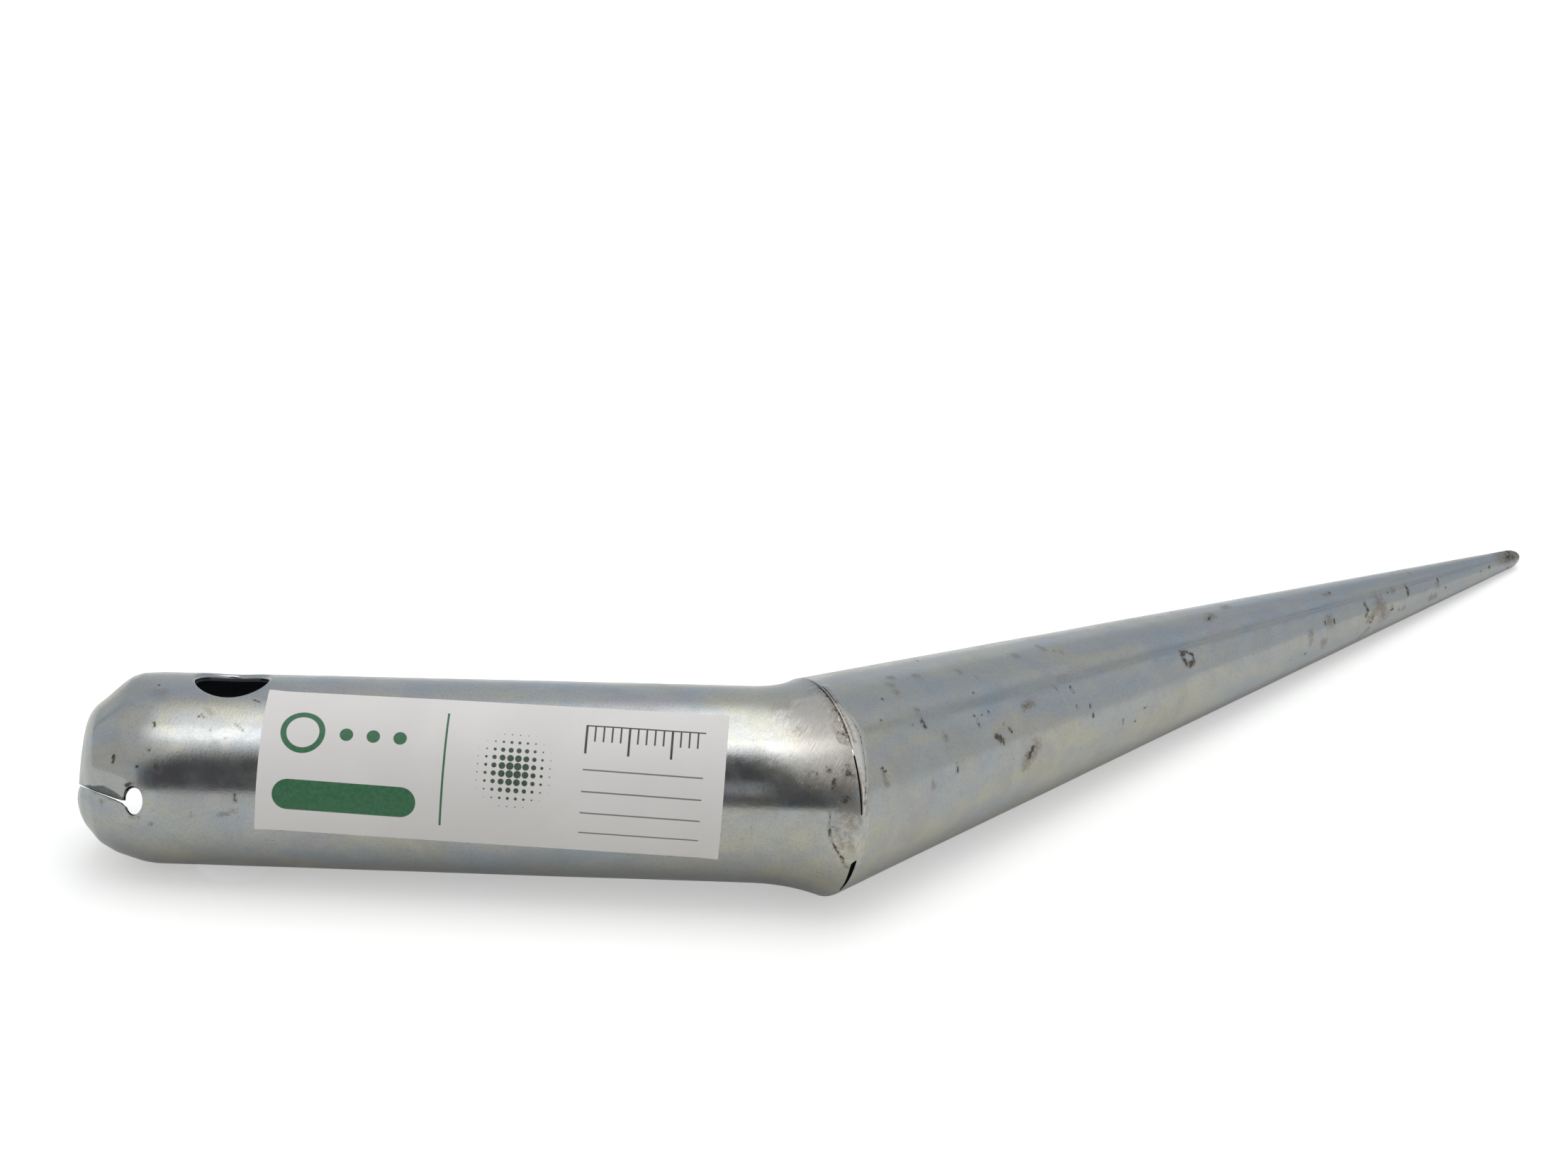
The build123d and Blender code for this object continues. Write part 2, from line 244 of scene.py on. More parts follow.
def from_closure(x, near, up):
    """Point given along the tool, towards the viewer and up, in the tilted plane of the pressed end."""
    return Vector((x, -cos(CLOSURE_ROLL) * near + sin(CLOSURE_ROLL) * up,
                   sin(CLOSURE_ROLL) * near + cos(CLOSURE_ROLL) * up))


def to_closure(point):
    """The way back: distance from the rear end, towards the viewer and up in that plane."""
    near = -cos(CLOSURE_ROLL) * point.y + sin(CLOSURE_ROLL) * point.z
    up = sin(CLOSURE_ROLL) * point.y + cos(CLOSURE_ROLL) * point.z
    return point.x + HANDLE_LENGTH, near, up


def closure_point(from_end, angle, inset):
    """Point of the pressed end before its slit is cut: domed all round."""
    theta = angle - CLOSURE_ROLL
    top = profile(CLOSURE_TOP, from_end)
    bottom = profile(CLOSURE_BOTTOM, from_end)
    side = max(profile(DOME_SIDE, from_end) - inset, 0.0)
    half_height = max((top + bottom) / 2 - inset, 0.0)
    x = from_end + inset * (1 - from_end / CLOSURE_LENGTH) - HANDLE_LENGTH
    return from_closure(x, side * cos(theta), (top - bottom) / 2 + half_height * sin(theta))


def lip_fade(from_end):
    """Share of the lips' turn along the end: none at the very end and none at the relief hole."""
    return smooth(0.5, 3.0, from_end) * (1 - smooth(10.6, 12.2, from_end))


def turned_lip(from_end, over):
    """How far the flap's edge is turned in, evenly from its crease down to the slit."""
    below = clamp01(1 - over / LIP_HEIGHT)
    return LIP_TURN * lip_fade(from_end) * below * below / (below + 0.12)


def press_flap(mesh):
    """Flatten the upper flap and turn both lips in, once the slit parts them."""
    for vertex in mesh.vertices:
        from_end, near, up = to_closure(to_tool(vertex.co))
        if from_end > FLAP_LENGTH:
            continue
        over_slit = keyhole_place(from_end, near, up)
        across = over_slit[0]
        over = above_slit(*over_slit)
        share = float(over > 0) if across < 0 else smooth(-2.5, 2.5, over)
        if share > 0:
            side = profile(DOME_SIDE, from_end) if from_end < CLOSURE_LENGTH else handle_radius(from_end)
            near *= 1 + share * ((flap_side(from_end) - turned_lip(from_end, over)) / max(side, 0.1) - 1)
        elif across < 0:
            close = clamp01(1 + over / LOWER_LIP_HEIGHT) ** 2
            near *= 1 - LOWER_LIP_TURN * close * lip_fade(from_end) / max(profile(DOME_SIDE, from_end), 0.1)
            back = LOWER_LIP_BACK * close * (1 - smooth(0.5, 5.0, from_end))
            from_end += back
            up -= back * tan(SLIT_RISE)
        vertex.co = to_row(from_closure(from_end - HANDLE_LENGTH, near, up))


def flare_point(run, angle, inset):
    """Point of the belled front end, whose rings lean from the tube's to the mitre's."""
    place = (run - FLARE_START) / FLARE_LENGTH
    slant = HALF_BEND * place ** 1.05
    bell = place ** 2.3
    start = handle_radius(FLARE_START)
    growth = handle_radius(HANDLE_LENGTH) - start
    radius = start + place * growth + bell * (JOINT_RADIUS - HANDLE_FRONT_RADIUS)
    across = (radius - inset) / cos(slant)
    across += bell * (RIM_ACROSS - JOINT_RADIUS / cos(HALF_BEND))
    outside = Vector((sin(slant), -cos(slant), 0))
    center = ALONG_HANDLE * (FLARE_LENGTH * (place - 1)) + RIM_CENTER * bell
    center -= MITRE_NORMAL * (ROOT_GAP / 2 * bell)
    point = center + outside * (across * cos(angle)) + UP * ((radius - inset) * sin(angle))
    return point + rim_dent(place, angle)


def rim_dent(place, angle):
    """The handle's edge, knocked in and back where the joint stands open."""
    turn = degrees(angle if angle < pi else angle - 2 * pi)
    upper = window(turn, 13, 33, 8) * smooth(0.78, 1.0, place)
    lower = window(turn, -47, -23, 3) * smooth(0.70, 1.0, place)
    inward = MITRE_OUTSIDE * -cos(angle) - UP * sin(angle)
    back = 0.7 * lower * smooth(-53, -21, turn)
    return inward * (0.12 * upper + 0.15 * lower) - MITRE_NORMAL * back


def handle_point(run, angle, inset=0.0):
    """Point of the handle's skin at a run from the rear end and an angle round it."""
    if run > FLARE_START:
        return flare_point(run, angle, inset)
    if run < CLOSURE_LENGTH:
        return closure_point(run, angle, inset)
    radius = handle_radius(run) - inset
    return Vector((run - HANDLE_LENGTH, -radius * cos(angle), radius * sin(angle)))


def spike_direction(angle):
    return SPIKE_OUTSIDE * cos(angle) + UP * sin(angle)


def spike_radius(along):
    return JOINT_RADIUS - along * TAPER


def spike_point(along, angle, inset=0.0):
    """Point of the spike's skin at a distance from the elbow and an angle round it."""
    return ALONG_SPIKE * along + spike_direction(angle) * (spike_radius(along) - inset / cos(HALF_TAPER))


def spike_rim(angle, inset=0.0):
    """Distance from the elbow at which the spike's skin meets its mitred edge."""
    lean = spike_direction(angle).dot(MITRE_NORMAL)
    radius = JOINT_RADIUS - inset / cos(HALF_TAPER)
    return (ROOT_GAP / 2 - lean * radius) / (ALONG_SPIKE.dot(MITRE_NORMAL) - lean * TAPER)


# Mesh helpers

def grid_faces(rows, columns, wrap, first=0, flip=False):
    """Quads of a grid of points that are numbered row by row."""
    faces = []
    for row in range(rows - 1):
        for column in range(columns if wrap else columns - 1):
            beside = (column + 1) % columns
            corner = first + row * columns
            face = (corner + column, corner + beside, corner + columns + beside, corner + columns + column)
            faces.append(face[::-1] if flip else face)
    return faces


def mesh_object(name, points, faces):
    mesh = bpy.data.meshes.new(name)
    mesh.from_pydata([to_row(point) for point in points], [], faces)
    mesh.validate()
    piece = bpy.data.objects.new(name, mesh)
    scene.collection.objects.link(piece)
    return piece


def tidy_mesh(mesh):
    """Weld double points and make all faces look outwards."""
    work = bmesh.new()
    work.from_mesh(mesh)
    bmesh.ops.remove_doubles(work, verts=work.verts, dist=1e-7)
    bmesh.ops.recalc_face_normals(work, faces=work.faces)
    work.to_mesh(mesh)
    work.free()


def cut_away(piece, cutters):
    """Subtract each cutter from the piece and keep the result as its mesh."""
    for cutter in cutters:
        step = piece.modifiers.new("cut", "BOOLEAN")
        step.operation = "DIFFERENCE"
        step.solver = "MANIFOLD"
        step.object = cutter
        view = bpy.context.evaluated_depsgraph_get()
        result = bpy.data.meshes.new_from_object(piece.evaluated_get(view))
        piece.modifiers.clear()
        old = piece.data
        piece.data = result
        bpy.data.meshes.remove(old)
        shape = cutter.data
        bpy.data.objects.remove(cutter)
        bpy.data.meshes.remove(shape)


def closed_rings(name, points, around):
    """Closed body through rings of points, with a flat face at both ends."""
    last = len(points) - around
    faces = [tuple(range(around))[::-1], tuple(range(last, last + around))]
    faces += grid_faces(len(points) // around, around, True)
    piece = mesh_object(name, points, faces)
    tidy_mesh(piece.data)
    return piece


def cutter_between(name, sections, place_of):
    """Closed cutter through rings of points; place_of turns each ring's points into the tool's frame."""
    points = [place_of(*spot) for ring in sections for spot in ring]
    return closed_rings(name, points, len(sections[0]))


def prism(name, outline, origin, x_axis, y_axis, reach):
    """Cutter with a flat outline, carried along its normal to reach on both sides."""
    normal = x_axis.cross(y_axis)
    sections = [[(x, y, side) for x, y in outline] for side in (-reach, reach)]

    def place_of(x, y, side):
        return origin + x_axis * x + y_axis * y + normal * side

    return cutter_between(name, sections, place_of)


def finish_piece(piece, node, material, crease=40):
    """Smooth the piece's shading apart from real edges, and let it stand for its CAD node."""
    piece.data.polygons.foreach_set("use_smooth", [True] * len(piece.data.polygons))
    piece.data.set_sharp_from_angle(angle=radians(crease))
    piece.data.materials.clear()
    piece.data.materials.append(material)
    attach(piece, "root")
    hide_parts(node)


# Handle

def spaced(start, end, step):
    count = max(1, round((end - start) / step))
    return [start + (end - start) * index / count for index in range(count)]


def handle_runs():
    """Places of the rings along the handle, close together where its shape changes."""
    pole = [0.04, 0.1, 0.2, 0.35]
    closure = spaced(0.5, CLOSURE_LENGTH, 0.28)
    past_hole = 39.0
    hole = spaced(CLOSURE_LENGTH, past_hole, 0.5)
    grip = spaced(past_hole, FLARE_START, 2.0)
    flare = spaced(FLARE_START, HANDLE_LENGTH, 0.3)
    return pole + closure + hole + grip + flare + [HANDLE_LENGTH]


def inner_handle_runs():
    closure = [0.35] + spaced(0.7, CLOSURE_LENGTH, 0.9)
    flare = spaced(FLARE_START, HANDLE_LENGTH, 0.8)
    return closure + spaced(CLOSURE_LENGTH, FLARE_START, 3.0) + flare + [HANDLE_LENGTH]


def ellipse_outline(half_width, half_height, count):
    turns = [2 * pi * index / count for index in range(count)]
    return [(half_width * cos(turn), half_height * sin(turn)) for turn in turns]


def keyhole_cutters():
    """The relief hole, flared towards the viewer, and the slit that runs from it round the end."""
    towards_near = Vector((0, -cos(CLOSURE_ROLL), sin(CLOSURE_ROLL)))
    upwards = Vector((0, sin(CLOSURE_ROLL), cos(CLOSURE_ROLL)))
    reach = sqrt(handle_radius(RELIEF_FROM_END) ** 2 - RELIEF_DROP ** 2)
    near_x = RELIEF_FROM_END - HANDLE_LENGTH
    origin = Vector((near_x - reach * tan(RELIEF_SKEW), 0, 0)) - upwards * RELIEF_DROP
    x_axis = ALONG_HANDLE * cos(RELIEF_SKEW) - towards_near * sin(RELIEF_SKEW)
    normal = x_axis.cross(upwards)
    along = Vector((-cos(SLIT_RISE), sin(SLIT_RISE)))
    across = Vector((sin(SLIT_RISE), cos(SLIT_RISE)))
    start = Vector((0, -SLIT_DROP))
    slit = [start + along * place + across * half for place, half in SLIT_HALF_WIDTHS]
    slit += [start + along * place - across * half for place, half in SLIT_HALF_WIDTHS[::-1]]
    stations = [(-CUT_REACH, 0.0), (reach - 2.2, 0.0), (reach - 0.8, 0.25), (reach + 0.2, 1.0)]
    stations.append((CUT_REACH, 1.0))
    sections = []
    for side, flare in stations:
        grown = flare * RELIEF_FLARE
        outline = ellipse_outline(RELIEF_HALF_WIDTH + grown, RELIEF_HALF_HEIGHT + grown, 64)
        sections.append([(x - grown, y - 0.5 * grown, side) for x, y in outline])
    hole = cutter_between("relief_cutter", sections,
                          lambda x, y, side: origin + x_axis * x + upwards * y + normal * side)
    return [hole, prism("slit_cutter", slit, origin, x_axis, upwards, CUT_REACH)]


def hole_cutter():
    """Cutter for the hanging hole, flared where it meets the skin, so that the edge comes out round."""
    around = 120
    bore = HOLE_RADIUS - 0.3
    origin = ALONG_HANDLE * (HOLE_FROM_END - HANDLE_LENGTH)
    bends = [0, 15, 30, 40, 50, 60, 70, 80]
    flare = [(1 - cos(radians(bend)), 1 - sin(radians(bend)), 0.0) for bend in bends]
    flare += [(flare[-1][0] + 0.5, -0.2, 0.0), (flare[-1][0] + 0.5, -0.2, 8.0)]
    sections = []
    for side in (1, -1):
        for wide, deep, beyond in flare[::-side]:
            ring = []
            for index in range(around):
                turn = 2 * pi * index / around
                edge = HOLE_EDGE_NEAR + (HOLE_EDGE_FAR - HOLE_EDGE_NEAR) * (1 + sin(turn)) / 2
                x = (bore + edge * wide) * cos(turn)
                y = (bore + edge * wide) * sin(turn)
                skin = sqrt((handle_radius(HOLE_FROM_END + x) - 0.05) ** 2 - y * y)
                ring.append((x, y, side * (skin - edge * deep + beyond)))
            sections.append(ring)
    return cutter_between("hole_cutter", sections, lambda x, y, z: origin + Vector((x, y, z)))


def handle_seam_cutter():
    """Cutter for the gap along the handle's seam."""
    inner, outer = 10.0, 30.0
    outward = Vector((0, -cos(HANDLE_SEAM), sin(HANDLE_SEAM)))
    sideways = outward.cross(ALONG_HANDLE)
    half = ROOT_GAP / 2
    outline = [(inner, -half), (outer, -half), (outer, half), (inner, half)]
    start = CLOSURE_LENGTH - HANDLE_LENGTH
    middle = ALONG_HANDLE * ((start + JOINT_RADIUS) / 2)
    return prism("seam_cutter", outline, middle, outward, sideways, (JOINT_RADIUS - start) / 2)


def make_handle(material):
    """Skin and inside of the handle in one closed mesh, then its cuts and its pressed lips."""
    around = 336
    turns = [2 * pi * index / around for index in range(around)]
    points = []
    outer_runs = handle_runs()
    for run in outer_runs:
        for turn in turns:
            point = handle_point(run, turn)
            sag = 0.05 * waver(point, 26.0, 1) + 0.02 * waver(point, 9.0, 2)
            outward = Vector((0, -cos(turn), sin(turn)))
            points.append(point + outward * (sag - 0.05))
    inner_runs = inner_handle_runs()
    inner_first = len(points)
    for run in inner_runs:
        points += [handle_point(run, turn, WALL) for turn in turns]
    faces = grid_faces(len(outer_runs), around, True)
    faces += grid_faces(len(inner_runs), around, True, inner_first, flip=True)
    faces.append(tuple(range(around))[::-1])
    faces.append(tuple(range(inner_first, inner_first + around)))
    outer_rim = (len(outer_runs) - 1) * around
    inner_rim = inner_first + (len(inner_runs) - 1) * around
    for index in range(around):
        beside = (index + 1) % around
        faces.append((outer_rim + index, outer_rim + beside, inner_rim + beside, inner_rim + index))
    piece = mesh_object("handle_shell", points, faces)
    tidy_mesh(piece.data)
    cut_away(piece, [hole_cutter(), handle_seam_cutter()] + keyhole_cutters())
    press_flap(piece.data)
    finish_piece(piece, "handle_tube", material)
    return piece


# Spike

def spike_flats(along, angle):
    """Slight flats and a faint crease that the rolls left along the cone."""
    flats = 0.045 * cos(9 * angle + 0.8) + 0.03 * cos(17 * angle + 2.1) - 0.05
    crease = 0.03 * np.exp(-((degrees(angle) - ROLL_CREASE) / 1.6) ** 2) * smooth(20, 60, along)
    return (flats - crease) * smooth(0, 25, along) * (1 - 0.8 * along / SPIKE_LENGTH)


def spike_sag(along, angle, point):
    """How far the skin stands off the true cone."""
    return spike_flats(along, angle) + 0.05 * waver(point, 24.0, 3) - 0.02


def spike_rows():
    """Distances of the rings from the rim, closest at the elbow."""
    return spaced(0.0, 6.0, 0.15) + spaced(6.0, NOSE_START, 0.75) + [NOSE_START]


def spike_turns():
    """Angles round the spike from one side of its seam to the other, closest on the outside and the top."""
    start = degrees(SPIKE_SEAM)
    turns = spaced(start, -60.0, (-60.0 - start) / 30) + spaced(-60.0, 110.0, 0.85)
    return turns + spaced(110.0, start + 360.0, (start + 250.0) / 30) + [start + 360.0]


def spike_grid(inset, rows, turns):
    """Points of the skin, or of the inside at an inset, ring by ring from the mitred edge on."""
    points = []
    middle = degrees(SPIKE_SEAM) + 180.0
    for row in rows:
        share = row / NOSE_START
        half_gap = ROOT_GAP / 2 / spike_radius(row)
        for turn in turns:
            angle = radians(middle + (turn - middle) * (1 - half_gap / pi))
            rim = spike_rim(angle, inset)
            along = rim + (NOSE_START - rim) * share
            point = spike_point(along, angle, inset)
            if inset == 0:
                edge = rounded_edge(along - rim, 0.2)
                point += spike_direction(angle) * (spike_sag(along, angle, point) - edge)
            points.append(point)
    return points


def closing_faces(fine, coarse):
    """Faces that close an edge between a fine row of points and a coarser one."""
    per = (len(fine) - 1) // (len(coarse) - 1)
    faces = []
    for index in range(len(coarse) - 1):
        run = fine[index * per:(index + 1) * per + 1]
        faces.append(tuple(run) + (coarse[index + 1], coarse[index]))
    return faces


def make_spike(material):
    """Fine skin and coarser inside of the cone, closed along its edges."""
    rows = spike_rows()
    turns = spike_turns()
    inner_rows = rows[::4]
    inner_turns = turns[::5]
    points = spike_grid(0.0, rows, turns) + spike_grid(WALL, inner_rows, inner_turns)
    wide = len(turns)
    inner_wide = len(inner_turns)
    inner_first = len(rows) * wide
    inner_last = inner_first + (len(inner_rows) - 1) * inner_wide
    faces = grid_faces(len(rows), wide, False)
    faces += grid_faces(len(inner_rows), inner_wide, False, inner_first, flip=True)
    for fine, coarse in ((0, inner_first), ((len(rows) - 1) * wide, inner_last)):
        faces += closing_faces(range(fine, fine + wide), range(coarse, coarse + inner_wide))
    for fine, coarse in ((0, inner_first), (wide - 1, inner_first + inner_wide - 1)):
        faces += closing_faces(range(fine, inner_first, wide), range(coarse, len(points), inner_wide))
    piece = mesh_object("spike_shell", points, faces)
    tidy_mesh(piece.data)
    finish_piece(piece, "spike_cone", material)
    return piece


def nose_profile():
    """Places and radii of the point's rings, from its root in the cone to its long round tip."""
    root = NOSE_START - NOSE_ROOT
    rings = [(root, 0.3), (root, spike_radius(root) - WALL - 0.02)]
    rings.append((NOSE_START - 0.01, spike_radius(NOSE_START) - WALL))
    shoulder_place = SPIKE_LENGTH - NOSE_REACH
    rings += [(along, spike_radius(along)) for along in spaced(NOSE_START, shoulder_place, 0.3)]
    for step in range(17):
        turn = radians(88) * step / 16
        radius = spike_radius(shoulder_place) * cos(turn)
        rings.append((shoulder_place + (NOSE_REACH + NOSE_STRETCH) * sin(turn), radius))
    return rings


def make_nose(material):
    """The dressed point: the cone's own skin at its root, passing into slight lumps."""
    around = 72
    points = []
    for along, radius in nose_profile():
        for column in range(around):
            angle = 2 * pi * column / around
            point = ALONG_SPIKE * along + spike_direction(angle) * radius
            if along >= NOSE_START:
                blend = smooth(NOSE_START, NOSE_START + 6, along)
                lump = 0.04 * waver(point, 3.0, 5) - 0.05
                turn = angle if angle < SPIKE_SEAM + 2 * pi else angle - 2 * pi
                sag = spike_sag(along, turn, point)
                point += spike_direction(angle) * (sag + blend * (lump - sag))
            points.append(point)
    piece = closed_rings("spike_tip", points, around)
    finish_piece(piece, "spike_nose", material)
    return piece


# Welds

def slab(name, rows, columns, pair_at):
    """Closed thin body: pair_at gives its top and bottom points at each row and column."""
    pairs = [pair_at(row, column) for row in range(rows + 1) for column in range(columns + 1)]
    points = [top for top, bottom in pairs] + [bottom for top, bottom in pairs]
    wide = columns + 1
    below = len(pairs)
    faces = grid_faces(rows + 1, wide, False) + grid_faces(rows + 1, wide, False, below, flip=True)
    edges = [(row * wide + column, wide) for row in range(rows) for column in (0, columns)]
    edges += [(row * wide + column, 1) for column in range(columns) for row in (0, rows)]
    faces += [(corner, corner + step, below + corner + step, below + corner) for corner, step in edges]
    piece = mesh_object(name, points, faces)
    tidy_mesh(piece.data)
    return piece


def elbow_skin(angle, offset):
    """Point on the handle (offset below 0) or the spike (above 0), that far from the joint."""
    if offset <= 0:
        start = handle_point(FLARE_START + 0.001, angle)
        length = (handle_point(HANDLE_LENGTH, angle) - start).length
        return handle_point(HANDLE_LENGTH + offset * FLARE_LENGTH / length, angle)
    rim = RIM_CENTER + MITRE_OUTSIDE * (RIM_ACROSS * cos(angle)) + UP * (JOINT_RADIUS * sin(angle))
    turn = atan2(rim.z, rim.dot(SPIKE_OUTSIDE))
    return spike_point(spike_rim(turn) + offset, turn)


def elbow_weld(side, span, half_width, height_at, material):
    """Weld run round part of the elbow, spread over both skins, with its own height at each place."""
    rows = 160
    columns = 56
    angles = [span[0] + (span[1] - span[0]) * row / rows for row in range(rows + 1)]
    offsets = [half_width * (2 * column / columns - 1) for column in range(columns + 1)]
    skin = [[elbow_skin(radians(angle), offset) for offset in offsets] for angle in angles]

    def pair_at(row, column):
        place = skin[row][column]
        ahead = skin[min(row + 1, rows)][column] - skin[max(row - 1, 0)][column]
        sideways = skin[row][min(column + 2, columns)] - skin[row][max(column - 2, 0)]
        normal = sideways.cross(ahead).normalized()
        height = height_at(angles[row], offsets[column], place)
        return place + normal * height, place - normal * WELD_DEPTH

    piece = slab("elbow_bead_" + side, rows, columns, pair_at)
    finish_piece(piece, "elbow_weld_" + side, material, crease=60)
    return piece


def top_weld_height(angle, offset, place):
    """Top run: ground flush, with the crack that the grinding left open along its middle."""
    spread = 3.1 + 0.8 * waver(place, 5.0, 11)
    edge = clamp01(abs(offset) / spread)
    ends = window(angle, 46, 84, 9)
    lift = (0.10 + 0.05 * waver(place, 0.8, 14)) * (1 - edge * edge) * ends
    sink = 0.16 * smooth(0.5, 1.0, edge) + 0.35 * (1 - ends)
    wander = 0.3 * waver(place, 5.0, 13) * smooth(46, 58, angle)
    crack = 0.25 + 0.12 * (1 - smooth(50, 62, angle))
    from_crack = abs(offset - wander)
    depth = 0.8 * (1 - smooth(crack * 0.5, crack, from_crack)) * ends
    burr = 0.07 * window(from_crack, crack, crack + 0.15, 0.25) * (0.6 + waver(place, 1.0, 15)) * ends
    return lift + burr - sink - depth


def side_weld_height(angle, offset, place):
    """Side run: a thin smear, ground down, with a crusty edge on the handle."""
    reach = 5.0 + 1.2 * waver(place, 4.0, 21) if offset < 0 else 3.4 + 0.6 * waver(place, 3.5, 22)
    edge = abs(offset) / reach
    ends = window(angle, -14, -8, 12)
    lumps = 0.05 * waver(place, 2.4, 23) + 0.03 * waver(place, 0.9, 24)
    body = (0.08 + lumps) * (1 - clamp01(edge) ** 3) * ends
    if offset > 0:
        return body - 0.14 * smooth(0.5, 1.0, edge) - 0.14 * (1 - ends)
    crust = 0.10 * window(edge, 0.84, 0.95, 0.1) * (0.4 + waver(place, 0.8, 25)) * ends
    return body + crust - 0.2 * smooth(0.93, 1.06, edge) - 0.14 * (1 - ends)


def inner_weld_height(angle, offset, place):
    """Hidden run: a hand-laid bead with its ripples."""
    edge = clamp01(abs(offset) / 3.0)
    ends = window(angle, 145, 200, 5)
    wave = radians(angle) * 20.0 * 2 * pi / 1.3 + 1.8 * edge * edge + 0.8 * waver(place, 4.0, 31)
    bead = (0.55 + 0.07 * sin(wave) + 0.08 * waver(place, 3.0, 32)) * sqrt(1 - edge ** 2) * ends
    return bead - 0.35 * smooth(0.8, 1.0, edge) - 0.3 * (1 - ends)


def seam_bead(body, start, end, outward, material):
    """Straight bead of weld along a body's seam, laid in overlapping ripples."""
    length = (end - start).length
    along = (end - start).normalized()
    sideways = outward.cross(along)
    rows = round(length / 0.3)
    columns = 14

    def pair_at(row, column):
        distance = length * row / rows
        ends = window(distance, 2.0, length - 2.0, 2.0)
        place = 2 * column / columns - 1
        middle = start + along * distance
        width = SEAM_BEAD_HALF_WIDTH * (0.35 + 0.65 * ends) * (1 + 0.10 * waver(middle, 5.0, 41))
        ripple = 0.09 * sin(2 * pi * distance / 1.25 + 1.9 * place * place + waver(middle, 6.0, 42))
        height = (0.52 + ripple + 0.10 * waver(middle, 8.0, 43)) * sqrt(1 - place * place) * ends - 0.22
        base = middle + sideways * (width * place)
        return base + outward * height, base - outward * WELD_DEPTH

    piece = slab(body + "_seam_bead", rows, columns, pair_at)
    finish_piece(piece, body + "_seam_weld", material, crease=60)
    return piece


def make_welds(ground_zinc, bead_zinc):
    """The near runs share the handle's ground and stained metal. The hidden ones are plain beads."""
    handle_ends = [handle_point(run, HANDLE_SEAM) for run in HANDLE_SEAM_RUN]
    handle_outward = Vector((0, -cos(HANDLE_SEAM), sin(HANDLE_SEAM)))
    spike_ends = [spike_point(along, SPIKE_SEAM) for along in SPIKE_SEAM_RUN]
    return [
        elbow_weld("top", ELBOW_TOP_SPAN, ELBOW_TOP_HALF_WIDTH, top_weld_height, ground_zinc),
        elbow_weld("side", ELBOW_SIDE_SPAN, ELBOW_SIDE_HALF_WIDTH, side_weld_height, ground_zinc),
        elbow_weld("inner", ELBOW_INNER_SPAN, ELBOW_INNER_HALF_WIDTH, inner_weld_height, bead_zinc),
        seam_bead("handle", *handle_ends, handle_outward, bead_zinc),
        seam_bead("spike", *spike_ends, spike_direction(SPIKE_SEAM), bead_zinc),
    ]


# Paper label

def make_label(material):
    """Paper sheet that follows the round of the handle, a little lifted at its corners."""
    rows = 180
    columns = 70
    radius = handle_radius(LABEL_MIDDLE)

    def pair_at(row, column):
        u = LABEL_LENGTH * (row / rows - 0.5)
        v = LABEL_HEIGHT * (column / columns - 0.5)
        run = LABEL_MIDDLE + u * cos(LABEL_TURN) - v * sin(LABEL_TURN)
        arc = v * cos(LABEL_TURN) + u * sin(LABEL_TURN)
        angle = LABEL_MIDDLE_ANGLE + arc / radius
        at_end = smooth(0.90, 1.0, abs(2 * u / LABEL_LENGTH))
        corner = at_end * smooth(0.75, 1.0, abs(2 * v / LABEL_HEIGHT))
        lift = 0.22 * corner + 0.03 * (1 + waver(Vector((run, arc, 0)), 14.0, 51))
        outward = Vector((0, -cos(angle), sin(angle)))
        base = Vector((run - HANDLE_LENGTH, 0, 0))
        return [base + outward * (handle_radius(run) + side + lift) for side in (LABEL_FACE, LABEL_BACK)]

    piece = slab("label_sheet", rows, columns, pair_at)
    finish_piece(piece, "paper_label", material, crease=50)


# Camera, at the photograph's viewing angle

CAMERA_PLACE = Vector((-0.05472, -0.62579, 0.29920))
CAMERA_RIGHT = Vector((0.99788, -0.01916, 0.06213))
CAMERA_DOWN = Vector((0.04931, -0.39974, -0.91530))
CAMERA_FORWARD = Vector((0.04237, 0.91643, -0.39796))
LENS_MM = 73.24
SENSOR_MM = 36.0


def make_camera():
    data = bpy.data.cameras.new("camera")
    data.lens = LENS_MM
    data.sensor_width = SENSOR_MM
    data.sensor_fit = "HORIZONTAL"
    data.clip_start = 0.01
    data.clip_end = 50.0
    camera = bpy.data.objects.new("camera", data)
    scene.collection.objects.link(camera)
    axes = Matrix((CAMERA_RIGHT, -CAMERA_DOWN, -CAMERA_FORWARD)).transposed()
    camera.matrix_world = Matrix.Translation(CAMERA_PLACE) @ axes.to_4x4()
    scene.camera = camera


# Node helpers

